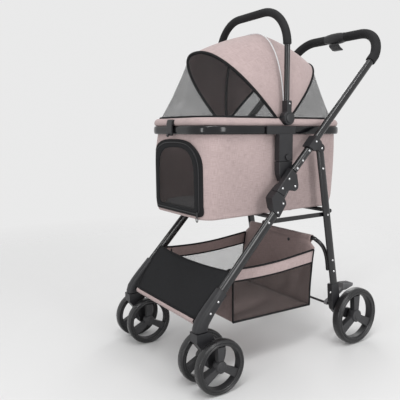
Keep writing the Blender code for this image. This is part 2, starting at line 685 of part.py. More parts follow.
def rim_arc(sign, start_y, count):
    """Half of the canopy's lower edge, from the left foot round the front (-1) or rear (1)."""
    half_length, half_width, corner = 0.2690, 0.1565, 0.085
    outline = [(half_width, start_y)]
    for k in range(9):
        turn = math.radians(90 * k / 8)
        outline.append((half_width - corner + corner * math.cos(turn),
                        RIM_CENTRE_Y + sign * (half_length - corner + corner * math.sin(turn))))
    outline += [(-x, y) for x, y in reversed(outline)]
    lengths = [0.0]
    for a, b in zip(outline, outline[1:]):
        lengths.append(lengths[-1] + math.dist(a, b))
    points = []
    for k in range(count):
        want = lengths[-1] * k / (count - 1)
        i = next(j for j in range(1, len(lengths)) if lengths[j] >= want - 1e-9)
        part = (want - lengths[i - 1]) / (lengths[i] - lengths[i - 1])
        a, b = outline[i - 1], outline[i]
        points.append(Vector((a[0] + (b[0] - a[0]) * part, a[1] + (b[1] - a[1]) * part,
                              CANOPY_BASE)))
    return points


def build_canopy(mats):
    """One thin dome over three bows, open at the bottom."""
    count = 17
    ribs = [rim_arc(-1, -0.040, count), bow_points(FRONT_BOW, count), bow_points(MIDDLE_BOW, count),
            bow_points(REAR_BOW, count), rim_arc(1, 0.030, count)]
    swell = [0.004, 0.004, 0.008, 0.004]
    rows = [ribs[0]]
    heart = Vector((0.0, RIM_CENTRE_Y, CANOPY_BASE))
    for (before, after), proud in zip(zip(ribs, ribs[1:]), swell):
        middle = []
        for k, (a, b) in enumerate(zip(before, after)):
            point = (a + b) / 2
            if 0 < k < count - 1:
                point += (point - heart).normalized() * proud
            middle.append(point)
        rows += [middle, after]
    inner = []
    for row in rows:
        pulled = []
        for point in row:
            away = point - heart
            moved = heart + away * (1 - 0.0035 / away.length)
            if abs(point.z - CANOPY_BASE) < 1e-6:
                moved.z = CANOPY_BASE
            pulled.append(moved)
        inner.append(pulled)
    vertices = [p for row in rows + inner for p in row]
    faces = []
    size = len(rows) * count
    for i in range(len(rows) - 1):
        for k in range(count - 1):
            a = i * count + k
            faces.append((a, a + 1, a + count + 1, a + count))
            b = a + size
            faces.append((b, b + count, b + count + 1, b + 1))
    edge = list(range(count)) + [(i + 1) * count + count - 1 for i in range(len(rows) - 1)]
    edge += [len(rows) * count - 1 - k for k in range(1, count)]
    edge += [i * count for i in range(len(rows) - 2, 0, -1)]
    for k, a in enumerate(edge):
        b = edge[(k + 1) % len(edge)]
        faces.append((a, b, b + size, a + size))
    add_object("canopy", vertices, faces, mats["fabric"])


def build_carry_handle(mats):
    points = [(CARRY_X, HUB_Y, HUB_TOP + GAP), (CARRY_X, HUB_Y, 0.9500)]
    for k in range(1, 10):
        turn = math.radians(90 * k / 9)
        points.append((CARRY_X - CARRY_CORNER * (1 - math.cos(turn)), HUB_Y,
                       CARRY_TOP - CARRY_CORNER + CARRY_CORNER * math.sin(turn)))
    points += mirrored(reversed(points))
    frames = path_frames(points)
    hinge = (0.0, HUB_Y, HUB_Z)
    vertices, faces = skin([ring(f, CARRY_TUBE_R, CARRY_TUBE_R, 10) for f in frames])
    add_object("carry_handle_tube", vertices, faces, mats["tube"], hinge)
    sleeve("carry_grip", frames[2:-2], CARRY_GRIP_R, CARRY_TUBE_R + GAP, mats["foam"], origin=hinge)
    for side, sign in sides():
        x0, x1 = span(sign, CARRY_X - 0.0100, CARRY_X + 0.0140)
        outline = arc((HUB_Y, HUB_Z), HUB_R, 115, 425, 14)
        outline += [(HUB_Y + 0.0095, HUB_TOP), (HUB_Y - 0.0095, HUB_TOP)]
        hub = plate(f"handle_hub_{side}", outline, x0, x1, mats["plastic"],
                    origin=(sign * CARRY_X, HUB_Y, HUB_Z))
        rounded(hub, 0.0015)


def build_clip_posts(mats):
    """Side clips: a saddle outside the rim, a post with a release button, and a plug."""
    button = (-0.0182, 0.6200)
    outline = [(-0.0500, 0.6880), (-0.0500, 0.6090), (0.0026, 0.6090), (0.0026, 0.6880)]
    for side, sign in sides():
        x0, x1 = span(sign, RIM_HALF_WIDTH + GAP, POST_X1)
        post = plate(f"clip_post_{side}", outline, x0, x1, mats["plastic"])
        s0, s1 = span(sign, RIM_HALF_WIDTH + GAP, RIM_HALF_WIDTH + 0.0060)
        saddle = box(f"post_saddle_{side}", (s0, -0.0880, 0.6875), (s1, 0.0230, 0.7120),
                     mats["plastic"])
        combine(post, saddle, "UNION")
        b0, b1 = span(sign, POST_X0, RIM_HALF_WIDTH + 0.0020)
        back = box(f"post_back_{side}", (b0, -0.0490, 0.6095), (b1, 0.0016, 0.6820),
                   mats["plastic"])
        combine(post, back, "UNION")
        t0, t1 = span(sign, PLUG_X0, PLUG_X1)
        plug = box(f"post_plug_{side}", (t0, -0.0200, 0.5900), (t1, -0.0020, 0.6110),
                   mats["plastic"])
        combine(post, plug, "UNION")
        c0, c1 = span(sign, POST_X1 - 0.0060, POST_X1 + 0.0100)
        pocket = turned(f"button_pocket_{side}", button, [(c0, 0.0096), (c1, 0.0096)], 12,
                        mats["plastic"])
        combine(post, pocket, "DIFFERENCE")
        d0, d1 = span(sign, POST_X1 - 0.0015, POST_X1 + 0.0050)
        turned(f"release_button_{side}", button, [(d0, 0.0090), (d1, 0.0090)], 12, mats["grey"],
               origin=(sign * POST_X1, *button))


def centre_model():
    """Every piece hangs from one empty that puts the whole model's middle over the origin."""
    front = CASTER_Y + CASTER_TRAIL - FRONT_WHEEL_R
    path = handle_path()
    rear = path[len(path) // 2][1] + CONSOLE_R
    base = bpy.data.objects.new("stroller", None)
    base.location = (0.0, -(front + rear) / 2, 0.0)
    bpy.context.scene.collection.objects.link(base)
    for obj in list(bpy.context.scene.collection.objects):
        if obj is not base and obj.parent is None:
            obj.parent = base


def main():
    clear_scene()
    mats = materials()
    build_wheels(mats)
    build_casters(mats)
    build_front_legs(mats)
    build_latches(mats)
    build_cross_tubes(mats)
    build_receivers(mats)
    build_handle(mats)
    build_rear_legs(mats)
    build_brake(mats)
    build_links(mats)
    build_basket(mats)
    build_rim(mats)
    build_carrier_body(mats)
    build_door(mats)
    build_pad(mats)
    build_canopy(mats)
    build_carry_handle(mats)
    build_clip_posts(mats)
    centre_model()


main()
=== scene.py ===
"""Looks for the pet stroller: smooth tubes, wheels, soft carrier, canopy, basket, trims and light.

Places on the stroller are in metres, in the frame that part.py draws in. finish_piece() adds SHIFT_Y,
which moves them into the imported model's frame. The camera and the lights are given in that frame.
"""

import json
import math
from itertools import accumulate, pairwise
from math import cos, pi, radians, sin

import bmesh
import bpy
import numpy as np
from mathutils import Matrix, Vector, noise
from mathutils.geometry import tessellate_polygon


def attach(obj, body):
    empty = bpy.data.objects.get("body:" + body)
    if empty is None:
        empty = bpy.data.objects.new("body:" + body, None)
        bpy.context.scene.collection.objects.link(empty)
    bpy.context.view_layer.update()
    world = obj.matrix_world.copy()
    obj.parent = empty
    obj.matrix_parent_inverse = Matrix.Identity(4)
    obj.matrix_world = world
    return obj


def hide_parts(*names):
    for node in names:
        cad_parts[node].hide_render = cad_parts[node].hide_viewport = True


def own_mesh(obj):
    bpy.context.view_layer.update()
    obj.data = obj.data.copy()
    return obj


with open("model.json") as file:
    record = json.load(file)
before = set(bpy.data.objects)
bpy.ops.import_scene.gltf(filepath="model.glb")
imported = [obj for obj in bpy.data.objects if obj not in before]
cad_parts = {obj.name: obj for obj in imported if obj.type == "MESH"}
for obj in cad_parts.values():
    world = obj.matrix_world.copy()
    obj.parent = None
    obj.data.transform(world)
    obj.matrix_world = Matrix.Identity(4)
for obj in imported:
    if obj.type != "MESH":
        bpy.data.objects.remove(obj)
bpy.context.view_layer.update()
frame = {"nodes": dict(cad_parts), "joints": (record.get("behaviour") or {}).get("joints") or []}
NODES = frame["nodes"]
JOINTS = {joint["name"]: joint for joint in frame["joints"]}

# ---- Dimensions shared with the frame ----
HUB_Y, HUB_Z = -0.01, 0.735
SHIFT_Y = JOINTS["carry_handle_swing"]["pos_m"][1] - HUB_Y
FRAME_X = 0.2058
TUBE_ANGLE = radians(45.94)
TUBE_DIR = (cos(TUBE_ANGLE), sin(TUBE_ANGLE))
LEG_TUBE, REAR_TUBE, HANDLE_TUBE_R = (0.008, 0.0145), (0.0065, 0.0142), 0.0118
HANDLE_START = (-0.0115, 0.5794)
HANDLE_RUN, HANDLE_CORNER_R = 0.505, 0.097
HANDLE_CORNER_ANGLE = radians(64)
GRIP_R, GRIP_LAP, CONSOLE_HALF = 0.016, 0.03, 0.046
LEG_TOP, LEG_BOTTOM = (-0.0817, 0.4585), (-0.2667, 0.2628)
LEG_PIVOT, REAR_LEG_X, REAR_LEG_END = (0.1052, 0.645), 0.198, (0.181, 0.208)
CASTER_X, CASTER_Y, CASTER_TRAIL, DUAL_OFFSET = 0.2058, -0.3384, 0.035, 0.0425
FRONT_WHEEL_R, FRONT_TYRE_W, REAR_WHEEL_R, REAR_TYRE_W = 0.075, 0.026, 0.092, 0.03
REAR_WHEEL_X, REAR_AXLE_Y = 0.2227, 0.2566
RIM_Y, RIM_LENGTH, RIM_WIDTH, RIM_CORNER = -0.02, 0.285, 0.172, 0.085
RIM_BAR_W, RIM_BAR_H, RIM_Z = 0.0115, 0.0245, 0.7
CARRY_X, CARRY_TOP, CARRY_CORNER, CARRY_TUBE_R, CARRY_GRIP_R = 0.1725, 1.06, 0.11, 0.0085, 0.0125
HUB_TOP = 0.787
FRONT_BOW = (0.1515, 0.2824, 43.9, 2.36, -0.021)
MIDDLE_BOW = (0.1505, 0.277, 2.7, 2.56, 0.0)
REAR_BOW = (0.155, 0.273, -42.8, 2.55, 0.008)
BOW_Z, CANOPY_BASE = 0.725, 0.733
CROSS_Z, REAR_CROSS_Z, CROSS_R = 0.4478, 0.445, 0.0068
SIDES = (("left", 1), ("right", -1))


# ---- materials

def new_material(name, **inputs):
    """A node material; each word in inputs is an input of its shader, with _ for a space."""
    made = bpy.data.materials.new(name)
    made.use_nodes = True
    tree = made.node_tree
    shader = tree.nodes["Principled BSDF"]
    for key, value in inputs.items():
        shader.inputs[key.replace("_", " ")].default_value = value
    return made, tree, shader


def math_node(tree, operation, *values, clamp=False):
    node = tree.nodes.new("ShaderNodeMath")
    node.operation, node.use_clamp = operation, clamp
    for socket, value in zip(node.inputs, values):
        if isinstance(value, (int, float)):
            socket.default_value = value
        else:
            tree.links.new(value, socket)
    return node.outputs[0]


def coordinates(tree, kind="Object"):
    return tree.nodes.new("ShaderNodeTexCoord").outputs[kind]


def scaled(tree, vector, scale):
    mapping = tree.nodes.new("ShaderNodeMapping")
    mapping.inputs["Scale"].default_value = scale
    tree.links.new(vector, mapping.inputs["Vector"])
    return mapping.outputs["Vector"]


def split_uv(tree, scale=None):
    node = tree.nodes.new("ShaderNodeSeparateXYZ")
    where = coordinates(tree, "UV")
    tree.links.new(scaled(tree, where, scale) if scale else where, node.inputs[0])
    return node.outputs


def noise_node(tree, vector, scale, detail=2.0, rough=0.5):
    node = tree.nodes.new("ShaderNodeTexNoise")
    for key, value in (("Scale", scale), ("Detail", detail), ("Roughness", rough)):
        node.inputs[key].default_value = value
    tree.links.new(vector, node.inputs["Vector"])
    return node.outputs["Fac"]


def coloured(tree, shader, value, stops):
    """The base colour, from a ramp of colours over a value."""
    node = tree.nodes.new("ShaderNodeValToRGB")
    elements = node.color_ramp.elements
    while len(elements) < len(stops):
        elements.new(0.5)
    for element, (place_at, colour) in zip(elements, stops):
        element.position = place_at
        element.color = (*colour, 1.0)
    tree.links.new(value, node.inputs["Fac"])
    tree.links.new(node.outputs["Color"], shader.inputs["Base Color"])


def mottled(tree, shader, value, colour, dark, light):
    coloured(tree, shader, value, [(0.3, tinted(colour, dark)), (0.7, tinted(colour, light))])


def bump(tree, shader, height, strength, distance):
    node = tree.nodes.new("ShaderNodeBump")
    node.inputs["Strength"].default_value = strength
    node.inputs["Distance"].default_value = distance
    tree.links.new(height, node.inputs["Height"])
    tree.links.new(node.outputs["Normal"], shader.inputs["Normal"])


def tinted(colour, factor):
    return tuple(min(1.0, c * factor) for c in colour)


def hard_material(name, colour, rough, grain=900.0, depth=0.0001, wear=0.25, shine=0.5, metallic=0.0):
    """Paint, plastic or metal with a fine grain and slightly worn, uneven gloss."""
    made, tree, shader = new_material(name, Metallic=metallic, Specular_IOR_Level=shine)
    where = coordinates(tree)
    broad = noise_node(tree, where, 14.0, 4.0, 0.6)
    mottled(tree, shader, broad, colour, 1 - wear, 1 + wear)
    tree.links.new(math_node(tree, "MULTIPLY_ADD", broad, 0.22, rough - 0.11), shader.inputs["Roughness"])
    bump(tree, shader, noise_node(tree, where, grain, 3.0), 0.35, depth)
    return made


def woven_material(name, colour, pitch=0.0013, fleck=0.2, rough=0.9, sheen=0.12):
    """Heathered plain weave: two crossed sets of uneven yarns, from the cloth's own UV in metres."""
    made, tree, shader = new_material(name, Roughness=rough, Sheen_Weight=sheen, Sheen_Roughness=0.5,
                                      Specular_IOR_Level=0.15)
    where = coordinates(tree, "UV")
    warp, weft = (noise_node(tree, scaled(tree, where, scale), 1.0, 2.0, 0.6)
                  for scale in ((1 / pitch, 0.06 / pitch, 1), (0.06 / pitch, 1 / pitch, 1)))
    yarns = math_node(tree, "ADD", warp, weft)
    cloudy = math_node(tree, "MULTIPLY", noise_node(tree, where, 9.0, 3.0, 0.55), 0.16)
    mixed = math_node(tree, "ADD", math_node(tree, "MULTIPLY", yarns, 0.42), cloudy)
    coloured(tree, shader, mixed, [(0.32, tinted(colour, 1 - fleck * 1.6)), (0.5, colour),
                                   (0.68, tinted(colour, 1 + fleck))])
    bump(tree, shader, yarns, 0.5, 0.0004)
    return made


def net_material(name, colour, pitch, thread, thin):
    """Open knit mesh: dark threads round small holes that let light through."""
    made, tree, shader = new_material(name, Roughness=0.85, Specular_IOR_Level=0.25)
    across = split_uv(tree, (1 / pitch, 1 / pitch, 1))
    lines = [math_node(tree, "LESS_THAN", math_node(tree, "PINGPONG", socket, 0.5), thread / 2)
             for socket in (across[0], across[1])]
    threads = math_node(tree, "MAXIMUM", *lines)
    tree.links.new(math_node(tree, "MULTIPLY_ADD", threads, 0.97 - thin, thin), shader.inputs["Alpha"])
    mottled(tree, shader, noise_node(tree, coordinates(tree), 30.0), colour, 0.8, 1.2)
    bump(tree, shader, threads, 0.4, 0.0003)
    return made


def foam_material(name, colour):
    made, tree, shader = new_material(name, Roughness=0.72, Specular_IOR_Level=0.22)
    where = coordinates(tree)
    mottled(tree, shader, noise_node(tree, where, 22.0, 3.0), colour, 0.85, 1.15)
    bump(tree, shader, noise_node(tree, where, 1500.0, 4.0, 0.65), 0.6, 0.0004)
    return made


def tyre_material(name, colour):
    """Moulded rubber with short cross grooves round the tread."""
    made, tree, shader = new_material(name)
    round_it, across = split_uv(tree)[:2]
    blocks = math_node(tree, "PINGPONG", math_node(tree, "MULTIPLY", round_it, 1 / 0.0105), 0.5)
    crown = math_node(tree, "LESS_THAN", math_node(tree, "ABSOLUTE", across), 0.0085)
    height = math_node(tree, "MULTIPLY", math_node(tree, "SMOOTH_MIN", blocks, 0.12), crown)
    fine = math_node(tree, "MULTIPLY", noise_node(tree, coordinates(tree), 1100.0, 3.0), 0.15)
    broad = noise_node(tree, coordinates(tree), 18.0, 4.0, 0.6)
    mottled(tree, shader, broad, colour, 0.8, 1.25)
    tree.links.new(math_node(tree, "MULTIPLY_ADD", broad, 0.2, 0.19), shader.inputs["Roughness"])
    bump(tree, shader, math_node(tree, "ADD", math_node(tree, "MULTIPLY", height, 4.0), fine), 0.6, 0.0008)
    return made


M = {
    "tube": hard_material("satin_black_tube", (0.005, 0.005, 0.006), 0.2, 700.0, 0.000002, shine=0.6),
    "gloss": hard_material("gloss_black_rim", (0.004, 0.004, 0.005), 0.15, 500.0, 0.000002, shine=0.42),
    "plastic": hard_material("moulded_black_plastic", (0.016, 0.016, 0.018), 0.42, 1600.0, shine=0.4),
    "spoke": hard_material("wheel_plastic", (0.028, 0.028, 0.03), 0.45, 1600.0, shine=0.4),
    "grey": hard_material("grey_plastic", (0.13, 0.13, 0.135), 0.42, 1600.0, 0.0002),
    "steel": hard_material("bright_steel", (0.62, 0.62, 0.63), 0.28, 1200.0, 0.00004, 0.08, metallic=1.0),
    "tyre": tyre_material("tyre_rubber", (0.011, 0.011, 0.012)),
    "foam": foam_material("foam_grip", (0.013, 0.013, 0.014)),
    "pink": woven_material("heather_fabric", (0.385, 0.303, 0.297)),
    # The pink fabric darkened: painted shade for the basket's inside, the hoop sleeve, the far side's strip
    # and the hem seam.
    "mauve": woven_material("shaded_fabric", (0.28, 0.212, 0.204)),
    "black": woven_material("black_fabric", (0.015, 0.0152, 0.0165), 0.0009, 0.25, 0.85, 0.0),
    "binding": woven_material("black_binding", (0.012, 0.012, 0.013), 0.0013, 0.3, 0.8, 0.0),
    "pad": woven_material("grey_pad_fabric", (0.16, 0.16, 0.168), 0.0014, 0.22, 0.95, 0.3),
    "net": net_material("black_net", (0.03, 0.03, 0.031), 0.0017, 0.12, 0.06),
    "door_net": net_material("door_net", (0.02, 0.018, 0.018), 0.0014, 0.3, 0.22),
    "fine_net": net_material("fine_black_net", (0.048, 0.04, 0.038), 0.0013, 0.14, 0.1),
    # The far basket side's net, coloured pale grey: painted light for the same black net seen lit from
    # behind.
    "painted_light_net": net_material("far_side_net", (0.2, 0.2, 0.205), 0.0014, 0.12, 0.06),
    "piping": hard_material("reflective_piping", (0.62, 0.62, 0.63), 0.35, wear=0.06),
}


# ---- mesh helpers

class Shape:
    """Vertices, faces, UV in metres and a material slot for each face, gathered for one piece."""

    def __init__(self):
        self.points, self.faces, self.uvs, self.slots = [], [], [], []

    def add(self, points, faces):
        first = len(self.points)
        self.points += [tuple(p) for p in points]
        for face in faces:
            self.faces.append(tuple(first + k for k in face))
            self.uvs.append([flat_uv(points[k]) for k in face])
            self.slots.append(0)

    def grid(self, rows, closed=False, slot=0, flip=False, uv_rows=None):
        """Quads over equal rows; closed joins the ends of each row. UV follows the lengths."""
        rows = [[Vector(p) for p in row] for row in rows]
        across = len(rows[0])
        if uv_rows is None:
            middle = rows[len(rows) // 2]
            loop = middle + [middle[0]] if closed else middle
            along_u = running((b - a).length for a, b in pairwise(loop))
            along_v = running(sum((b - a).length for a, b in zip(*pair)) / across for pair in pairwise(rows))
            uv_rows = [[(u, v) for u in along_u] for v in along_v]
        first = len(self.points)
        for row in rows:
            self.points += [tuple(p) for p in row]
        for i in range(len(rows) - 1):
            for k in range(across if closed else across - 1):
                n = (k + 1) % across
                corners = [(i, k, k), (i, n, k + 1), (i + 1, n, k + 1), (i + 1, k, k)]
                if flip:
                    corners.reverse()
                self.faces.append(tuple(first + r * across + c for r, c, _ in corners))
                self.uvs.append([uv_rows[r][u] for r, _, u in corners])
                self.slots.append(slot)

    def cap(self, ring, flip=False):
        order = range(len(ring))
        self.add(ring, [tuple(reversed(order)) if flip else tuple(order)])

    def loft(self, rings):
        """A closed skin over the rings, with both of its ends capped."""
        self.grid(rings, closed=True)
        self.cap(rings[0], flip=True)
        self.cap(rings[-1])

    def stack(self, x, y, profile, count):
        """A skin turned about an upright line at (x, y); the profile holds (z, radius)."""
        self.grid([[(x + r * c, y + r * s, z) for c, s in around(count)] for z, r in profile], closed=True)


def clamped(value):
    return min(max(value, 0.0), 1.0)


def running(gaps):
    """The total after each gap, from 0."""
    return list(accumulate(gaps, initial=0.0))


def around(count):
    """Unit (cos, sin) at even steps round a circle."""
    return [(cos(2 * pi * k / count), sin(2 * pi * k / count)) for k in range(count)]


def steps_along(gaps, count, parts):
    """(segment, share) of count places on a line; each step is one in parts of its whole length."""
    lengths = running(gaps)
    out, i = [], 1
    for k in range(count):
        want = lengths[-1] * k / parts
        while i < len(lengths) - 1 and lengths[i] < want:
            i += 1
        out.append((i, min((want - lengths[i - 1]) / max(lengths[i] - lengths[i - 1], 1e-9), 1.0)))
    return out


def even(points, count):
    """The same open curve with its points at even steps."""
    gaps = ((b - a).length for a, b in pairwise(points))
    return [points[i - 1].lerp(points[i], t) for i, t in steps_along(gaps, count, count - 1)]


def resampled(points, count):
    """Even steps round a closed outline."""
    loop = [Vector(p) for p in points] + [Vector(points[0])]
    gaps = ((b - a).length for a, b in pairwise(loop))
    return [loop[i - 1].lerp(loop[i], t) for i, t in steps_along(gaps, count, count)]


def flat_uv(point):
    return (point[0] + point[1], point[2] + 0.37 * point[1])


def attached(obj, body, nodes):
    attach(obj, body)
    if nodes:
        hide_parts(*nodes)


def finish_piece(name, shape, mats, body, *nodes, sharp=40, outward=False, slot=None):
    """The piece's object, riding on a body (None: later, or never) in the place of the nodes."""
    mats = [mats] if isinstance(mats, str) else mats
    mesh = bpy.data.meshes.new(name)
    mesh.from_pydata([(x, y + SHIFT_Y, z) for x, y, z in shape.points], [], shape.faces)
    layer = mesh.uv_layers.new(name="UVMap")
    layer.data.foreach_set("uv", [c for face in shape.uvs for uv in face for c in uv])
    mesh.polygons.foreach_set("material_index", shape.slots)
    for mat in mats:
        mesh.materials.append(M[mat])
    work = bmesh.new()
    work.from_mesh(mesh)
    bmesh.ops.remove_doubles(work, verts=work.verts, dist=0.00002)
    if outward:
        bmesh.ops.recalc_face_normals(work, faces=work.faces)
    work.to_mesh(mesh)
    work.free()
    mesh.shade_smooth()
    mesh.set_sharp_from_angle(angle=radians(sharp))
    obj = bpy.data.objects.new(name, mesh)
    bpy.context.scene.collection.objects.link(obj)
    if body:
        attached(obj, body, nodes)
    return obj


def solid(name, shape, mats, body, *nodes, **more):
    return finish_piece(name, shape, mats, body, *nodes, outward=True, **more)


def applied(obj):
    """Bakes the modifiers into the piece's mesh."""
    graph = bpy.context.evaluated_depsgraph_get()
    mesh = bpy.data.meshes.new_from_object(obj.evaluated_get(graph))
    obj.modifiers.clear()
    obj.data = mesh
    return obj


def bevelled(obj, width, segments=2, angle=35):
    step = obj.modifiers.new("soft_edges", "BEVEL")
    step.width = width
    step.segments = segments
    step.limit_method = "ANGLE"
    step.angle_limit = radians(angle)
    step.harden_normals = False
    step.use_clamp_overlap = True
    return obj


def thickened(obj, thickness, offset=0.0):
    step = obj.modifiers.new("thickness", "SOLIDIFY")
    step.thickness = thickness
    step.offset = offset
    return obj


def smooth_path(points, per=8):
    """A Catmull-Rom curve through the points."""
    pts = [Vector(p) for p in points]
    pts = [pts[0] * 2 - pts[1]] + pts + [pts[-1] * 2 - pts[-2]]
    out = []
    for i in range(1, len(pts) - 2):
        a, b, c, d = pts[i - 1:i + 3]
        for k in range(per):
            t = k / per
            out.append(0.5 * (2 * b + (c - a) * t + (2 * a - 5 * b + 4 * c - d) * t * t
                              + (3 * b - a - 3 * c + d) * t ** 3))
    out.append(pts[-2])
    return out


def sweep_rings(points, radius, sides):
    """Rings along a path, of one radius or of one for each point."""
    places = [Vector(p) for p in points]
    rings, side = [], None
    for i, at in enumerate(places):
        forward = (places[min(i + 1, len(places) - 1)] - places[max(i - 1, 0)]).normalized()
        if side is None:
            side = forward.orthogonal().normalized()
        side = (side - forward * side.dot(forward)).normalized()
        up = forward.cross(side)
        r = radius[i] if isinstance(radius, list) else radius
        rings.append([at + side * r * c + up * r * s for c, s in around(sides)])
    return rings


def add_tube(shape, points, radius, sides, caps=True):
    rings = sweep_rings(points, radius, sides)
    if caps:
        shape.loft(rings)
    else:
        shape.grid(rings, closed=True)


def tube_piece(name, points, radius, body, *nodes, sides=24):
    """A black tube whose ends are drawn in a little, so that they catch the light."""
    shape = Shape()
    pts = [Vector(p) for p in points]
    edge = min(0.0012, radius * 0.25)
    first = (pts[1] - pts[0]).normalized() * edge
    last = (pts[-2] - pts[-1]).normalized() * edge
    pts = [pts[0], pts[0] + first] + pts[1:-1] + [pts[-1] + last, pts[-1]]
    radii = [radius - edge] + [radius] * (len(pts) - 2) + [radius - edge]
    add_tube(shape, pts, radii, sides)
    return solid(name, shape, "tube", body, *nodes)


def oval_tube(name, x, start, end, section, body, node):
    """A straight oval tube in a plane of constant X."""
    run = Vector((0.0, end[0] - start[0], end[1] - start[1])).normalized()
    deep = run.cross(Vector((1.0, 0.0, 0.0)))
    outline = superellipse(*section, 2.3, 32)
    shape = Shape()
    centres = [Vector((x, *start)).lerp(Vector((x, *end)), share) for share in (0.0, 0.5, 1.0)]
    shape.loft([[centre + Vector((a, 0, 0)) + deep * b for a, b in outline] for centre in centres])
    return solid(name, shape, "tube", body, node)


def add_turned(shape, centre, profile, sides, closed=False):
    """A shape turned about a line along X; the profile holds (x, radius)."""
    length = running(math.dist(a, b) for a, b in pairwise(profile))
    widest = max(r for _, r in profile)
    rings = [[(x, centre[0] + radius * s, centre[1] - radius * c) for c, s in around(sides)]
             for x, radius in profile]
    uv_rows = [[(2 * pi * widest * k / sides, v - length[-1] / 2) for k in range(sides + 1)] for v in length]
    if closed:
        rings.append(rings[0])
        uv_rows.append([(u, length[-1]) for u, _ in uv_rows[0]])
    shape.grid(rings, closed=True, uv_rows=uv_rows)
    if not closed:
        for ring, turn in ((rings[0], True), (rings[-1], False)):
            if (Vector(ring[0]) - Vector(ring[1])).length > 1e-6:
                shape.cap(ring, flip=turn)


def add_prism(shape, outline, x0, x1, holes=()):
    """A flat plate from x0 to x1, from an outline of (y, z) and the outlines of its holes."""
    loops = [list(outline)] + [list(h) for h in holes]
    flat = [p for loop in loops for p in loop]
    count = len(flat)
    points = [(x0, y, z) for y, z in flat] + [(x1, y, z) for y, z in flat]
    faces = [tuple(t) for t in tessellate_polygon([[Vector((y, z, 0)) for y, z in loop] for loop in loops])]
    faces += [tuple(k + count for k in reversed(t)) for t in faces]
    first = 0
    for loop in loops:
        for k in range(len(loop)):
            a, b = first + k, first + (k + 1) % len(loop)
            faces.append((a, b, b + count, a + count))
        first += len(loop)
    shape.add(points, faces)


def arc(centre, radius, start, end, steps):
    turns = [radians(start + (end - start) * k / steps) for k in range(steps + 1)]
    return [(centre[0] + radius * cos(t), centre[1] + radius * sin(t)) for t in turns]


def along(start, distance, direction=TUBE_DIR):
    return (start[0] + distance * direction[0], start[1] + distance * direction[1])


def mirrored(points):
    return [(-p[0], *p[1:]) for p in points]


def power_of(value, power):
    return math.copysign(abs(value) ** power, value)


def superellipse(half_a, half_b, power, count):
    return [(half_a * power_of(c, 2 / power), half_b * power_of(s, 2 / power)) for c, s in around(count)]


# ---- wheels

def tyre_profile(x, radius, half):
    """Closed section of a tyre: crowned tread, raised shoulder bead, flat side and inner edge."""
    side = [(0.0, 1.0), (0.42, 0.999), (0.68, 0.99), (0.88, 0.97), (0.98, 0.945), (1.0, 0.918),
            (0.96, 0.897), (0.88, 0.888), (0.86, 0.878), (0.9, 0.868), (0.95, 0.855), (0.96, 0.815),
            (0.9, 0.79), (0.76, 0.778)]
    right = [(x + half * a, radius * r) for a, r in side]
    left = [(x - half * a, radius * r) for a, r in reversed(side[1:])]
    return left + right


def spoke_windows(centre, radius):
    """Three windows between spokes that widen a little towards the rim."""
    outer, inner = radius * 0.768, radius * 0.215
    windows = []
    steps = 10
    for spoke in (90, 210, 330):
        near, far = [], []
        for k in range(steps + 1):
            r = inner + (outer - inner) * k / steps
            share = (r - inner) / (outer - inner)
            half = radius * (0.112 + 0.045 * share)
            turn = math.degrees(math.asin(half / r))
            near.append((r, spoke + turn))
            far.append((r, spoke + 120 - turn))
        ring = near + [(outer, near[-1][1] + (far[-1][1] - near[-1][1]) * k / 10) for k in range(1, 10)]
        ring += list(reversed(far))
        low = near[0][1] - far[0][1]
        ring += [(inner, far[0][1] + low * k / 4) for k in range(1, 4)]
        windows.append([(centre[0] + r * cos(radians(t)),
                         centre[1] + r * sin(radians(t))) for r, t in ring])
    return windows


def build_wheel(label, x, centre, radius, width, body, nodes):
    half = width / 2
    tyre = Shape()
    add_turned(tyre, centre, tyre_profile(x, radius, half), 84, closed=True)
    solid(f"tyre_{label}", tyre, "tyre", body, nodes[0], sharp=50)
    wheel = Shape()
    outline = arc(centre, radius * 0.785, 0, 360 - 360 / 72, 71)
    add_prism(wheel, outline, x - half * 0.62, x + half * 0.62, spoke_windows(centre, radius))
    for sign in (1, -1):
        hub = [(x, 0.225), (x + sign * half * 0.78, 0.215), (x + sign * half * 0.86, 0.195),
               (x + sign * half * 0.86, 0.13), (x + sign * half * 0.98, 0.115),
               (x + sign * half * 1.02, 0.0)]
        add_turned(wheel, centre, [(px, radius * r) for px, r in hub], 32)
    obj = solid(f"wheel_{label}", wheel, "spoke", body, nodes[1])
    bevelled(obj, 0.0014, 2, 50)


def build_wheels():
    rear, front = (REAR_AXLE_Y, REAR_WHEEL_R), (CASTER_Y + CASTER_TRAIL, FRONT_WHEEL_R)
    for side, sign in SIDES:
        build_wheel(f"rear_{side}", sign * REAR_WHEEL_X, rear, REAR_WHEEL_R, REAR_TYRE_W,
                    f"rear_wheel_{side}", (f"rear_tyre_{side}", f"rear_wheel_{side}"))
        for where, step in (("outer", 1), ("inner", -1)):
            x = sign * (CASTER_X + step * DUAL_OFFSET)
            build_wheel(f"front_{side}_{where}", x, front, FRONT_WHEEL_R, FRONT_TYRE_W,
                        f"front_wheel_{side}_{where}",
                        (f"front_tyre_{side}_{where}", f"front_wheel_{side}_{where}"))


# ---- frame

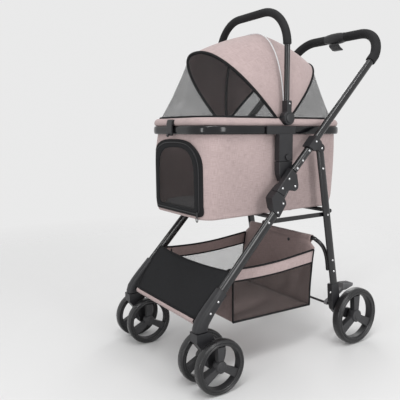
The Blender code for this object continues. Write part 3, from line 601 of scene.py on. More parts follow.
def build_sockets():
    """Front leg sockets: a sleeve round the tube that turns down into the swivel housing."""
    path = [(-0.2675, 0.262, 0.0156, 0.0125), (-0.269, 0.2604, 0.0164, 0.0135),
            (-0.29, 0.238, 0.0168, 0.0145), (-0.308, 0.219, 0.0174, 0.015),
            (-0.323, 0.201, 0.0186, 0.0154), (-0.334, 0.186, 0.0198, 0.0156),
            (-0.3382, 0.173, 0.0207, 0.0156), (-0.3385, 0.166, 0.0208, 0.0156),
            (-0.3385, 0.1653, 0.02, 0.0148)]
    turns = [226.6, 226.6, 226.6, 228.0, 236.0, 252.0, 268.0, 270.0, 270.0]
    for side, sign in SIDES:
        shape = Shape()
        rings = []
        for (y, z, half, wide), turn in zip(path, turns):
            lift, rise = sin(radians(turn)), cos(radians(turn))
            rings.append([(sign * CASTER_X + a, y - lift * b, z + rise * b)
                          for a, b in superellipse(wide, half, 3.2, 28)])
        shape.loft(rings)
        solid(f"leg_socket_{side}", shape, "plastic", "frame", f"front_socket_{side}")
        collar = Shape()
        for z0, z1, r in ((0.1585, 0.164, 0.0205), (0.1545, 0.1585, 0.0185)):
            profile = ((z0, r - 0.0008), (z0 + 0.0008, r), (z1 - 0.0008, r), (z1, r - 0.0008))
            collar.loft([[(sign * CASTER_X + 0.86 * rr * c, CASTER_Y + rr * s, z) for c, s in around(32)]
                         for z, rr in profile])
        solid(f"swivel_collar_{side}", collar, "plastic", f"caster_{side}")


def leg_y(z):
    slope = (REAR_LEG_END[0] - LEG_PIVOT[0]) / (LEG_PIVOT[1] - REAR_LEG_END[1])
    return LEG_PIVOT[0] + (LEG_PIVOT[1] - z) * slope


def build_tubes():
    for side, sign in SIDES:
        x = sign * FRAME_X
        oval_tube(f"leg_tube_{side}", x, LEG_TOP, LEG_BOTTOM, LEG_TUBE, "frame", f"front_leg_{side}")
        x = sign * REAR_LEG_X
        oval_tube(f"rear_leg_tube_{side}", x, (leg_y(0.656), 0.656), (leg_y(0.208), 0.208), REAR_TUBE,
                  "rear_legs", f"rear_leg_{side}")
    bar_y = leg_y(REAR_CROSS_Z) + REAR_TUBE[1] + CROSS_R + 0.001
    tube_piece("rear_cross_bar", [(-0.1955, bar_y, REAR_CROSS_Z), (0.1955, bar_y, REAR_CROSS_Z)], CROSS_R,
               "rear_legs", "rear_cross_tube")
    tube_piece("front_cross_bar", [(-0.1936, -0.076, CROSS_Z), (0.1936, -0.076, CROSS_Z)], CROSS_R, "frame",
               "front_cross_tube")
    tube_piece("front_wire", [(-0.187, -0.334, 0.1815), (0.187, -0.334, 0.1815)], 0.0055, "frame",
               "front_lower_rod")
    half = 0.1785
    side = [(half, leg_y(0.247), 0.247), (half, leg_y(0.29), 0.29), (half, 0.154, 0.32),
            (half - 0.002, 0.14, 0.338), (half - 0.011, 0.129, 0.35),
            (half - 0.03, 0.123, 0.356)]
    hoop = smooth_path(side + [(0.0, 0.123, 0.356)] + mirrored(reversed(side)), 6)
    tube_piece("hoop_tube", hoop, 0.0065, "rear_legs", "basket_hoop")


def build_latch_rods():
    """The short rod between the two halves of each latch."""
    for side, sign in SIDES:
        x = sign * 0.204
        tube_piece(f"latch_rod_{side}", [(x, -0.05, 0.496), (x, -0.03, 0.5225)], 0.0042, "frame",
                   sides=16)


def build_brake():
    rod = (0.18, 0.134)
    tube_piece("brake_rod", [(-0.1835, *rod), (0.1835, *rod)], 0.004, "brake", "brake_bar", sides=16)
    arm = [(0.1735, 0.13), (0.184, 0.1275), (0.256, 0.166), (0.256, 0.179), (0.1735, 0.1405)]
    pad = [(0.244, 0.166), (0.262, 0.166), (0.296, 0.1745), (0.296, 0.1845), (0.25, 0.1895)]
    for side, sign in SIDES:
        shape = Shape()
        x0, x1 = sorted((sign * 0.152, sign * 0.18))
        a0, a1 = sorted((sign * 0.164, sign * 0.176))
        add_prism(shape, arm, a0, a1)
        add_prism(shape, pad, x0, x1)
        for k in range(5):
            y = 0.256 + 0.0075 * k
            top = 0.1893 - (y - 0.25) * 0.109
            ridge = [(y - 0.0018, top - 0.002), (y + 0.0018, top - 0.002), (y + 0.0012, top + 0.0018),
                     (y - 0.0012, top + 0.0018)]
            add_prism(shape, ridge, x0 + 0.002, x1 - 0.002)
        obj = solid(f"pedal_{side}", shape, "grey", "brake")
        bevelled(obj, 0.0009, 2, 30)


def rivet(shape, x, y, z, sign, radius=0.0036):
    """A low domed head standing out along X."""
    profile = [(x - sign * 0.0008, radius), (x + sign * 0.0004, radius), (x + sign * 0.0014, radius * 0.8),
               (x + sign * 0.002, radius * 0.45), (x + sign * 0.0022, 0.0)]
    add_turned(shape, (y, z), profile, 16)


def build_rivets():
    leg_x = REAR_LEG_X + REAR_TUBE[0]
    tube_x = FRAME_X + HANDLE_TUBE_R
    groups = {
        "handle": [(0.2208, 0.069, 0.666), (tube_x, 0.0439, 0.639), (0.2079, *LEG_PIVOT),
                   (tube_x, 0.0174, 0.6105), (tube_x, -0.003, 0.588), (0.216, -0.0341, 0.5587),
                   (0.216, -0.0591, 0.5323), (0.216, -0.0105, 0.5358)],
        "frame": [(0.216, -0.0564, 0.4879), (0.216, -0.0767, 0.4632),
                  (FRAME_X + LEG_TUBE[0], -0.1081, 0.4359), (CASTER_X + 0.0144, -0.2885, 0.24),
                  (CASTER_X + 0.015, -0.3138, 0.2125)],
        "rear_legs": [(leg_x, leg_y(0.5818), 0.5818), (leg_x, leg_y(0.4351), 0.4351),
                      (leg_x, leg_y(0.2857), 0.2857), (leg_x, leg_y(0.2488), 0.2488),
                      (0.205, 0.16, 0.1816)],
    }
    for body, places in groups.items():
        shape = Shape()
        for x, y, z in places:
            for sign in (1, -1):
                rivet(shape, sign * x, y, z, sign)
        solid(f"rivets_{body}", shape, "steel", body)


# ---- handle

def handle_path():
    up = (cos(HANDLE_CORNER_ANGLE), sin(HANDLE_CORNER_ANGLE))
    bend = along(HANDLE_START, HANDLE_RUN)
    straight = [along(HANDLE_START, d) for d in (0.0006, 0.1, 0.2, 0.3, 0.4)]
    points = [(FRAME_X, *p) for p in straight]
    corner = [(FRAME_X, *along(HANDLE_START, HANDLE_RUN - d)) for d in (GRIP_LAP, 0.015, 0.0)]
    for k in range(1, 17):
        turn = radians(90 * k / 16)
        rise, inward = HANDLE_CORNER_R * sin(turn), HANDLE_CORNER_R * (1 - cos(turn))
        corner.append((FRAME_X - inward, bend[0] + rise * up[0], bend[1] + rise * up[1]))
    last = corner[-1]
    corner += [(0.08, last[1], last[2]), (CONSOLE_HALF, last[1], last[2])]
    return points, corner


def build_handle():
    straight, corner = handle_path()
    whole = straight + corner
    tube_piece("push_tube", whole + mirrored(reversed(whole)), HANDLE_TUBE_R, "handle", "push_handle_tube")
    for side, sign in SIDES:
        points = corner if sign > 0 else mirrored(corner)
        pts = [Vector(p) for p in points]
        lead = (pts[1] - pts[0]).normalized()
        pts = [pts[0], pts[0] + lead * 0.0012, pts[0] + lead * 0.0035] + pts[1:]
        radii = [GRIP_R - 0.0035, GRIP_R - 0.001] + [GRIP_R] * (len(pts) - 2)
        shape = Shape()
        add_tube(shape, pts, radii, 32)
        solid(f"foam_grip_{side}", shape, "foam", "handle", f"handle_grip_{side}")
    build_console(corner[-1][1:])


def build_console(bar):
    """A waisted housing round the cross bar that swells in the middle, with a squeeze lever under it."""
    shape = Shape()
    rings = []
    stations = [(-1.0, 0.015, 0.0), (-0.985, 0.0166, 0.0), (-0.8, 0.0176, 0.0006), (-0.55, 0.0196, 0.0018),
                (-0.25, 0.0208, 0.0026), (0.0, 0.021, 0.0028)]
    stations += [(-a, r, d) for a, r, d in reversed(stations[:-1])]
    for share, r, drop in stations:
        rings.append([(share * CONSOLE_HALF, bar[0] + a, bar[1] + b * (1.0 if b > 0 else 0.93) - drop * 0.3)
                      for a, b in superellipse(r, r * 0.97, 2.5, 32)])
    shape.loft(rings)
    solid("console_housing", shape, "plastic", "handle", "handle_console")
    lever = Shape()
    top = [(-0.016, -0.0202), (-0.0165, -0.0275), (0.002, -0.041), (0.016, -0.042),
           (0.017, -0.0385), (0.003, -0.031), (-0.008, -0.0202)]
    add_prism(lever, [(bar[0] + y, bar[1] + z) for y, z in top], -0.02, 0.02)
    obj = solid("squeeze_lever", lever, "plastic", "fold_lever", "fold_lever", slot="grey_plastic")
    bevelled(obj, 0.002, 3, 30)


def build_carry_handle():
    points = [(CARRY_X, HUB_Y, HUB_TOP - 0.004), (CARRY_X, HUB_Y, 0.86), (CARRY_X, HUB_Y, 0.95)]
    for k in range(1, 17):
        turn = radians(90 * k / 16)
        points.append((CARRY_X - CARRY_CORNER * (1 - cos(turn)), HUB_Y,
                       CARRY_TOP - CARRY_CORNER + CARRY_CORNER * sin(turn)))
    points.append((0.02, HUB_Y, CARRY_TOP))
    points += mirrored(reversed(points))
    tube_piece("carry_tube", points, CARRY_TUBE_R, "carry_handle", "carry_handle_tube")
    grip = [Vector(p) for p in points[2:-2]]
    a, b = Vector((0, 0, 0.0012)), Vector((0, 0, 0.0035))
    grip = [grip[0], grip[0] + a, grip[0] + b] + grip[1:-1] + [grip[-1] + b, grip[-1] + a, grip[-1]]
    r = CARRY_GRIP_R
    radii = [r - 0.003, r - 0.0008] + [r] * (len(grip) - 4) + [r - 0.0008, r - 0.003]
    shape = Shape()
    add_tube(shape, grip, radii, 32)
    solid("carry_foam", shape, "foam", "carry_handle", "carry_grip")
    caps = Shape()
    bolts = Shape()
    for _, sign in SIDES:
        x = sign * (CARRY_X + 0.014)
        profile = [(x - sign * 0.001, 0.019), (x + sign * 0.0014, 0.0188), (x + sign * 0.002, 0.0176),
                   (x + sign * 0.0016, 0.015), (x + sign * 0.0042, 0.014), (x + sign * 0.005, 0.0122),
                   (x + sign * 0.0052, 0.0)]
        add_turned(caps, (HUB_Y, HUB_Z), profile, 40)
        rivet(bolts, x, HUB_Y, 0.7775, sign, 0.0028)
    solid("hub_caps", caps, "plastic", "carry_handle")
    solid("hub_bolts", bolts, "steel", "carry_handle")


# ---- carrier

TUB_LEVELS = [(0.456, 0.253, 0.149, 0.04, -0.03), (0.49, 0.258, 0.152, 0.042, -0.028),
              (0.65, 0.2655, 0.1575, 0.055, -0.0245), (0.684, 0.2715, 0.1585, 0.0735, -0.02),
              (0.74, 0.2715, 0.1585, 0.0735, -0.02)]


def tub_size(z):
    """(half length, half width, corner, centre Y) of the tub at a height."""
    z = min(max(z, TUB_LEVELS[0][0]), TUB_LEVELS[-1][0])
    for low, high in zip(TUB_LEVELS, TUB_LEVELS[1:]):
        if z <= high[0]:
            t = (z - low[0]) / (high[0] - low[0])
            return tuple(low[k] + (high[k] - low[k]) * t for k in range(1, 5))
    return TUB_LEVELS[-1][1:]


def oval(half_length, half_width, corner, centre_y, count):
    """Evenly spaced (x, y, normal x, normal y) round a rounded rectangle, from the rear middle."""
    dense = []
    for cx, cy, start in ((1, 1, 0), (-1, 1, 90), (-1, -1, 180), (1, -1, 270)):
        for k in range(33):
            turn = radians(start + 90 * k / 32)
            dense.append((cx * (half_width - corner) + corner * cos(turn),
                          cy * (half_length - corner) + corner * sin(turn) + centre_y,
                          cos(turn), sin(turn)))
    middle = tuple((a + b) / 2 for a, b in zip(dense[32], dense[33]))
    loop = [middle] + dense[33:] + dense[:33] + [middle]
    gaps = (math.dist(a[:2], b[:2]) for a, b in pairwise(loop))
    return [tuple(a + (b - a) * t for a, b in zip(loop[i - 1], loop[i]))
            for i, t in steps_along(gaps, count, count)]


HEM_DROP = 0.0068


def hem_drop(y, z):
    """The lower edge hangs lower towards the front."""
    weight = clamped((0.52 - z) / 0.06)
    return HEM_DROP * weight * weight * clamped((0.1 - y) / 0.36)


def tub_rows(count):
    rows = []
    heights = [0.456, 0.4562, 0.458, 0.461, 0.465, 0.47, 0.476]
    heights += list(np.linspace(0.484, 0.684, 26))
    outs = [-0.0022, -0.0006, 0.0004, 0.0003, -0.0005, -0.0003, 0.0]
    outs += [0.0] * 26
    heights += [0.69, 0.7, 0.709, 0.7125, 0.714, 0.7168, 0.7205, 0.725, 0.729, 0.7322, 0.7332]
    outs += [0.0004, 0.0004, 0.0004, 0.0025, 0.006, 0.0098, 0.0112, 0.0105, 0.008, 0.004, -0.001]
    for z, out in zip(heights, outs):
        a, b, r, cy = tub_size(z)
        row = []
        for x, y, nx, ny in oval(a, b, r, cy, count):
            puff = 0.0
            if 0.47 < z < 0.69:
                lump = noise.noise(Vector((x * 9, y * 9, z * 4)))
                fold = noise.noise(Vector((x * 30, y * 30, z * 5 + 7)))
                puff = 0.0016 * lump + 0.0007 * fold
                puff += 0.0018 * sin(pi * (z - 0.47) / 0.22)
            if z > 0.711:
                puff = 0.001 * noise.noise(Vector((x * 22, y * 22, z * 30)))
                puff += 0.0006 * sin(95 * (x + y))
            grow = out + puff
            row.append((x + nx * grow, y + ny * grow, z - hem_drop(y, z)))
        rows.append(row)
    return rows


def tub_front(x, z):
    """Y of the tub's front wall, which turns back round its corners."""
    a, b, r, cy = tub_size(z)
    past = abs(x) - (b - r)
    if past <= 0:
        return cy - a
    return cy - a + r - math.sqrt(max(r * r - past * past, 0.0))


def door_outline(half, low, high, shoulder=0.088, corner=0.012):
    """(x, z) of a D standing on its flat side, from the middle of its lower edge round by +X."""
    points = [(0.0, low), (half * 0.5, low)]
    points += [(half - corner + corner * sin(radians(t)),
                low + corner - corner * cos(radians(t))) for t in range(0, 91, 15)]
    straight = high - shoulder
    for k in range(1, 6):
        points.append((half, low + corner + (straight - low - corner) * k / 6))
    for k in range(0, 15):
        turn = pi / 2 * k / 14
        points.append((half * cos(turn) ** 0.66, straight + shoulder * sin(turn) ** 0.72))
    return points + [(-x, z) for x, z in reversed(points[1:-1])]


def on_front(point, proud):
    x, z = point
    drop = hem_drop(-0.29, z)
    return (x, tub_front(x, z) - proud, z - drop)


# (half width, low, high) of the doorway's binding outside, its edge, and the trim's inside
DOOR_OUT, DOOR_EDGE, DOOR_IN = (0.136, 0.463, 0.6735), (0.124, 0.47, 0.664), (0.102, 0.479, 0.65)


def door_line(line, grow=0.0):
    """The outline of one of the door's lines, moved outwards."""
    return door_outline(line[0] + grow, line[1] - grow, line[2] + grow)


def build_tub():
    count = 168
    rows = tub_rows(count)
    shape = Shape()
    base = [[(x * share, -0.03 + (y + 0.03) * share, 0.459 - hem_drop(y, 0.46) * 0.5) for x, y, _ in rows[0]]
            for share in (0.0, 0.5, 0.97)]
    shape.grid(base + rows, closed=True, flip=True)
    tub = finish_piece("carrier_fabric", shape, ["pink", "black"], None, sharp=60)
    thickened(tub, 0.0016, -1.0)
    cut = Shape()
    outline = [tuple(p) for p in resampled(door_line(DOOR_EDGE), 64)]
    cut.loft([[(x, y, z - 0.0095) for x, z in outline] for y in (-0.33, -0.24)])
    knife = solid("doorway_knife", cut, "pink", None)
    step = tub.modifiers.new("doorway", "BOOLEAN")
    step.operation = "DIFFERENCE"
    step.object = knife
    step.solver = "EXACT"
    applied(tub)
    bpy.data.objects.remove(knife)
    tub.data.shade_smooth()
    tub.data.set_sharp_from_angle(angle=radians(50))
    attached(tub, "carrier", ["carrier_body"])
    feet = Shape()
    for x, y in ((0.118, -0.215), (-0.118, -0.215), (0.118, 0.052), (-0.118, 0.052)):
        feet.stack(x, y, ((0.4585, 0.012), (0.4495, 0.012), (0.4482, 0.0108), (0.4481, 0.0)), 24)
    solid("carrier_feet", feet, "plastic", "carrier")
    seam = Shape()
    hem = [(x + nx * 0.0006, y + ny * 0.0006, 0.4685 - hem_drop(y, 0.4685))
           for x, y, nx, ny in oval(*tub_size(0.468), 240)]
    add_tube(seam, hem + [hem[0]], 0.0006, 6, caps=False)
    # The hem seam takes the pink darkened as painted shade.
    stitches = finish_piece("hem_stitching", seam, "mauve", "carrier")


def band(shape, outer, inner, proud_out, proud_in):
    """A flat strip between two outlines on the tub's front."""
    a, b = resampled(outer, 160), resampled(inner, 160)
    rows = []
    for share in (0.0, 0.12, 0.5, 0.88, 1.0):
        proud = proud_out + (proud_in - proud_out) * share + 0.0015 * sin(pi * share) ** 0.5
        rows.append([on_front(p.lerp(q, share), proud) for p, q in zip(a, b)])
    shape.grid(rows, closed=True)


def build_door():
    edge = Shape()
    band(edge, door_line(DOOR_OUT), door_line(DOOR_EDGE, -0.001), 0.004, 0.0042)
    binding = finish_piece("doorway_binding", edge, "binding", "carrier", sharp=60)
    thickened(binding, 0.001)
    trim = Shape()
    band(trim, door_line(DOOR_EDGE, -0.0012), door_line(DOOR_IN), 0.0046, 0.003)
    frame_piece = finish_piece("door_trim", trim, "black", "door", sharp=60)
    thickened(frame_piece, 0.001)
    window = Shape()
    outline = resampled(door_line(DOOR_IN, 0.002), 120)
    centre = Vector((0.0, 0.56))
    rows = []
    for share in (1.0, 0.85, 0.7, 0.55, 0.4, 0.25, 0.1, 0.0):
        rows.append([on_front(centre.lerp(p, share), 0.0026 + 0.0035 * (1 - share * share)) for p in outline])
    uv_rows = [[(x, z) for x, _, z in row + [row[0]]] for row in rows]
    window.grid(rows, closed=True, uv_rows=uv_rows)
    net = finish_piece("door_net", window, "door_net", "door", "door_flap", sharp=70)
    zip_line = Shape()
    track = resampled(door_line(DOOR_EDGE, 0.0005), 200)
    add_tube(zip_line, [on_front(p, 0.0052) for p in track + [track[0]]], 0.0016, 8, caps=False)
    finish_piece("door_zip", zip_line, "plastic", "carrier")
    pull = Shape()
    x, z = 0.1165, 0.4575
    y = tub_front(x, 0.465) - 0.007
    ring = [(x + 0.005 * c, y, z - 0.008 + 0.0075 * s) for c, s in around(20)]
    add_tube(pull, ring + ring[:1], 0.0014, 8, caps=False)
    add_tube(pull, [(x, y + 0.001, z + 0.012), (x, y + 0.0003, z - 0.001)], 0.003, 10)
    solid("zip_pull", pull, "plastic", "door")


def build_rim():
    shape = Shape()
    section = superellipse(RIM_BAR_W / 2, RIM_BAR_H / 2, 2.7, 24)
    rows = [[(x + nx * (out - RIM_BAR_W / 2), y + ny * (out - RIM_BAR_W / 2), RIM_Z + up)
             for x, y, nx, ny in oval(RIM_LENGTH, RIM_WIDTH, RIM_CORNER, RIM_Y, 220)] for out, up in section]
    shape.grid(rows + rows[:1], closed=True)
    solid("rim_ring", shape, "gloss", "carrier", "carrier_rim")
    clip = Shape()
    y = RIM_Y - RIM_LENGTH
    outline = [(y + 0.004, 0.73), (y - 0.0035, 0.731), (y - 0.0075, 0.718), (y - 0.0075, 0.686),
               (y - 0.003, 0.683), (y - 0.0008, 0.686), (y - 0.0008, 0.714), (y + 0.004, 0.715)]
    add_prism(clip, outline, -0.015, 0.015)
    knob = [(0.0, 0.0), (0.002, 0.003), (0.006, 0.0048), (0.01, 0.003), (0.0115, 0.0)]
    clip.stack(0.0, y - 0.0115, [(0.679 + up, r) for up, r in knob], 20)
    add_tube(clip, [(0.0, y - 0.006, 0.688), (0.0, y - 0.0115, 0.686)], 0.003, 12)
    obj = solid("front_clip", clip, "plastic", "carrier")
    bevelled(obj, 0.001, 2, 40)


def build_pad():
    """A soft rectangular pad, swelled a little so that its edges round over."""
    shape = Shape()
    low, high = 0.4602, 0.48
    rows = []
    for z, grow in ((low, -0.012), (low + 0.003, -0.003), (low + 0.009, 0.0), (high - 0.006, -0.001),
                    (high - 0.0015, -0.006), (high, -0.014), (high + 0.0005, -0.03)):
        rows.append([(x, y, z) for x, y, _, _ in oval(0.244 + grow, 0.14 + grow, 0.04, -0.03, 120)])
    for share in (0.9, 0.7, 0.45, 0.2, 0.0):
        rows.append([(x * share, -0.03 + (y + 0.03) * share, high + 0.0008 +
                      0.0014 * (1 - share) * noise.noise(Vector((x * 20, y * 20, 1.0))))
                     for x, y, _ in rows[6]])
    shape.grid(rows, closed=True)
    shape.cap(rows[0], flip=True)
    pad = solid("pad_cushion", shape, "pad", None)
    swell(pad, 0.006, 0.006)
    attached(pad, "carrier", ["carrier_pad"])


def swell(obj, voxel, most):
    """Cloth pressure from inside, capped, so that a padded piece bulges between its seams."""
    step = obj.modifiers.new("even_mesh", "REMESH")
    step.mode = "VOXEL"
    step.voxel_size = voxel
    applied(obj)
    before = np.array([v.co for v in obj.data.vertices])
    cloth = obj.modifiers.new("cloth", "CLOTH")
    cloth.settings.use_pressure = True
    cloth.settings.uniform_pressure_force = 4.0
    cloth.settings.effector_weights.gravity = 0.0
    scene = bpy.context.scene
    for number in range(1, 21):
        scene.frame_set(number)
    applied(obj)
    scene.frame_set(1)
    after = np.array([v.co for v in obj.data.vertices])
    move = after - before
    length = np.maximum(np.linalg.norm(move, axis=1, keepdims=True), 1e-9)
    after = before + move * np.minimum(1.0, most / length)
    obj.data.vertices.foreach_set("co", after.ravel())
    obj.data.update()
    obj.data.shade_smooth()


# ---- canopy

def bow_points(bow, count):
    width, height, tilt, square, foot_y = bow
    lean = radians(tilt)
    low = math.asin(((CANOPY_BASE - BOW_Z) / (height * cos(lean))) ** (square / 2))
    points = []
    for k in range(count):
        turn = low + (pi - 2 * low) * k / (count - 1)
        across = power_of(cos(turn), 2 / square) * width
        rise = sin(turn) ** (2 / square) * height
        points.append(Vector((across, foot_y - rise * sin(lean), BOW_Z + rise * cos(lean))))
    return even(points, count)


def rim_arc(sign, start_y, count):
    half_length, half_width, corner = 0.269, 0.1565, 0.085
    outline = [Vector((half_width, start_y, CANOPY_BASE))]
    for k in range(17):
        turn = radians(90 * k / 16)
        outline.append(Vector((half_width - corner + corner * cos(turn),
                               RIM_Y + sign * (half_length - corner + corner * sin(turn)),
                               CANOPY_BASE)))
    outline += [Vector((-p.x, p.y, p.z)) for p in reversed(outline)]
    return even(outline, count)


def canopy_panel(before, after, steps, swell_by, heart):
    rows = []
    for i in range(steps + 1):
        t = i / steps
        row = []
        for k, (a, b) in enumerate(zip(before, after)):
            point = a.lerp(b, t)
            share = k / (len(before) - 1)
            edge = min(1.0, 8 * share * (1 - share))
            out = (point - heart).normalized()
            bulge = swell_by * 4 * t * (1 - t) * edge
            ripple = 0.0011 * edge * sin(pi * t) * noise.noise(point * 16.0)
            row.append(point + out * (bulge + ripple))
        rows.append(row)
    return rows


def build_canopy():
    count = 81
    ribs = [rim_arc(-1, -0.04, count), bow_points(FRONT_BOW, count), bow_points(MIDDLE_BOW, count),
            bow_points(REAR_BOW, count), rim_arc(1, 0.03, count)]
    heart = Vector((0.0, RIM_Y, CANOPY_BASE))
    shape = Shape()
    panels = [(0, 1, 14, -0.002, 1), (1, 2, 14, 0.007, 0), (2, 3, 14, 0.01, 0), (3, 4, 12, -0.001, 1)]
    for a, b, steps, out, slot in panels:
        shape.grid(canopy_panel(ribs[a], ribs[b], steps, out, heart), slot=slot)
    canopy = finish_piece("canopy_cloth", shape, ["pink", "net"], "carrier", "canopy", sharp=80)
    thickened(canopy, 0.0009, -1.0)
    trims = Shape()
    for rib, radius in ((ribs[1], 0.0046), (ribs[3], 0.0042)):
        add_tube(trims, [p + (p - heart).normalized() * 0.0008 for p in rib], radius, 12)
    for rib in (ribs[0], ribs[4]):
        add_tube(trims, [p + Vector((0, 0, 0.003)) for p in rib], 0.004, 10)
    inside = [p - (p - heart).normalized() * 0.0052 for p in ribs[2]]
    add_tube(trims, inside, 0.0042, 10)
    binding = solid("canopy_bindings", trims, "binding", "carrier")
    line = Shape()
    add_tube(line, [p + (p - heart).normalized() * 0.0016 for p in ribs[2]], 0.0021, 10)
    piping = solid("canopy_piping", line, "piping", "carrier")


# ---- basket

# Half width; Y of the floor's front and rear, and its length; the share of it kept when folded
BASKET_X, BASKET_FRONT, BASKET_REAR, BASKET_LENGTH, BASKET_KEEP = 0.1768, -0.208, 0.094, 0.302, 0.5
# Z of the floor's front edge and its slope; Z of the rear wall's foot, its top, and its height
FLOOR_Z, FLOOR_SLOPE, WALL_LOW, WALL_HIGH, WALL_RISE = 0.152, 0.017, 0.1469, 0.349, 0.2021
# The net's share of a side's height, below the fabric strip
NET_SHARE = 0.77


def basket_squash(obj):
    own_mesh(obj)


def rear_edge(z):
    """Y of the basket's rear wall, which leans back to meet the hoop."""
    return BASKET_REAR + 0.021 * clamped((z - WALL_LOW) / WALL_RISE) ** 2


def along_floor(y):
    """The share of the way from the basket's front to its rear."""
    return (y - BASKET_FRONT) / BASKET_LENGTH


def floor_z(y):
    return FLOOR_Z - FLOOR_SLOPE * (y - BASKET_FRONT)


def side_top(y):
    return 0.319 + 0.048 * y - 0.01 * sin(pi * clamped((y + 0.232) / 0.332))


def build_basket():
    pieces = []
    for side, sign in SIDES:
        x = sign * BASKET_X
        panel, trim = Shape(), Shape()
        ys = np.linspace(BASKET_FRONT, BASKET_REAR, 25)

        def wall(y, share):
            """Across the side from its floor edge (0) to its top edge (1)."""
            z = floor_z(y) + (side_top(y) - floor_z(y)) * share
            hollow = 0.004 * sin(pi * along_floor(y)) * sin(pi * min(share * 1.2, 1))
            lump = 0.0012 * noise.noise(Vector((sign * 3.0, y * 14, z * 14)))
            lean = (rear_edge(z) - BASKET_REAR) * along_floor(y) ** 4
            return (x - sign * (hollow + lump), y + lean, z)

        net_rows = [[wall(y, NET_SHARE * k / 12) for y in ys] for k in range(13)]
        panel.grid(net_rows, flip=sign > 0)
        top_rows = [[wall(y, NET_SHARE + (1 - NET_SHARE) * k / 5) for y in ys] for k in range(6)]
        panel.grid(top_rows, slot=1, flip=sign > 0)
        front_top = [wall(BASKET_FRONT, 1.0), (x, -0.222, 0.3085), (x, -0.232, 0.3045)]
        front_low = [wall(BASKET_FRONT, NET_SHARE), (x, -0.224, 0.279), (x, -0.25, 0.28)]
        panel.grid([front_low, front_top], slot=1, flip=sign < 0)
        # Lit and shaded copies: the far side's net is painted pale for light, and its strip takes the pink
        # darkened as painted shade.
        mats = ["fine_net", "pink"] if sign > 0 else ["painted_light_net", "mauve"]
        obj = finish_piece(f"basket_side_{side}", panel, mats, "frame",
                           *(["storage_basket"] if sign > 0 else []), sharp=60)
        thickened(obj, 0.001)
        edges = [[wall(y, 1.0) for y in reversed(ys)] + front_top[1:], [wall(y, NET_SHARE) for y in ys],
                 [wall(y, 0.0) for y in ys], [wall(BASKET_FRONT, k / 12 * 0.95) for k in range(13)],
                 [wall(BASKET_REAR, k / 12) for k in range(13)]]
        for line, r in zip(edges, (0.003, 0.0026, 0.003, 0.0028, 0.0028)):
            add_tube(trim, line, r, 10)
        binding = solid(f"basket_binding_{side}", trim, "binding", "frame")
        pieces += [obj, binding]
    floor = Shape()
    rows = []
    across = np.linspace(-BASKET_X, BASKET_X, 17)
    for y in np.linspace(BASKET_FRONT, BASKET_REAR, 15):
        dips = [0.004 * cos(pi * x / (2 * BASKET_X)) * sin(pi * along_floor(y)) for x in across]
        rows.append([(x, y, floor_z(y) - dip) for x, dip in zip(across, dips)])
    floor.grid(rows)
    front = [[(x, BASKET_FRONT + 0.003 * sin(pi * k / 6), FLOOR_Z + 0.118 * k / 6) for x in across]
             for k in range(7)]
    floor.grid(front, slot=1)
    rear_rows = []
    for k in range(15):
        t = k / 14
        row = []
        for x in np.linspace(-BASKET_X, BASKET_X, 33):
            y = rear_edge(WALL_LOW + WALL_RISE * t) - 0.0015
            y += 0.003 * sin(pi * t) * (1 - (x / BASKET_X) ** 2)
            z = WALL_LOW + (WALL_HIGH - WALL_LOW) * t - max(0.0, abs(x) - 0.15) * 0.75 * t
            row.append((x, y + 0.0014 * noise.noise(Vector((x * 12, 3.0, z * 12))), z))
        rear_rows.append(row)
    floor.grid(rear_rows, slot=1)
    # The tray's floor and walls take the pink darkened as painted shade.
    tray = finish_piece("basket_tray", floor, ["mauve", "mauve"], "frame", sharp=60)
    thickened(tray, 0.0012)
    pieces.append(tray)
    sleeve = Shape()
    rings = []
    for x in np.linspace(-0.156, 0.156, 41):
        hang = 0.03 if abs(x) < 0.15 else 0.026
        yc, zc, r = 0.123, 0.356, 0.0088
        line = [(yc - r - 0.003, zc - hang), (yc - r - 0.001, zc - 0.015)]
        line += [(yc + r * cos(radians(t)), zc + r * sin(radians(t)))
                 for t in range(180, -91, -18)]
        line += [(yc - 0.002, zc - r - 0.001), (yc - 0.0075, zc - 0.02)]
        wave = 0.0008 * noise.noise(Vector((x * 25, 0.0, 5.0)))
        rings.append([(x, y + wave, z + wave) for y, z in line])
    sleeve.grid(rings)
    # The hoop sleeve takes the pink darkened as painted shade.
    wrap = finish_piece("hoop_sleeve", sleeve, "mauve", "frame", sharp=60)
    thickened(wrap, 0.001)
    snap = Shape()
    profile = ((0.0, 0.0055), (0.0016, 0.0055), (0.0026, 0.004), (0.0028, 0.0))
    snap.grid([[(0.058 + r * c, 0.1115 - out, 0.336 + r * s) for c, s in around(20)] for out, r in profile],
              closed=True)
    button = solid("sleeve_snap", snap, "plastic", "frame")
    pieces += [wrap, button]
    pieces += build_apron()
    for obj in pieces:
        if obj.modifiers:
            applied(obj)
        basket_squash(obj)


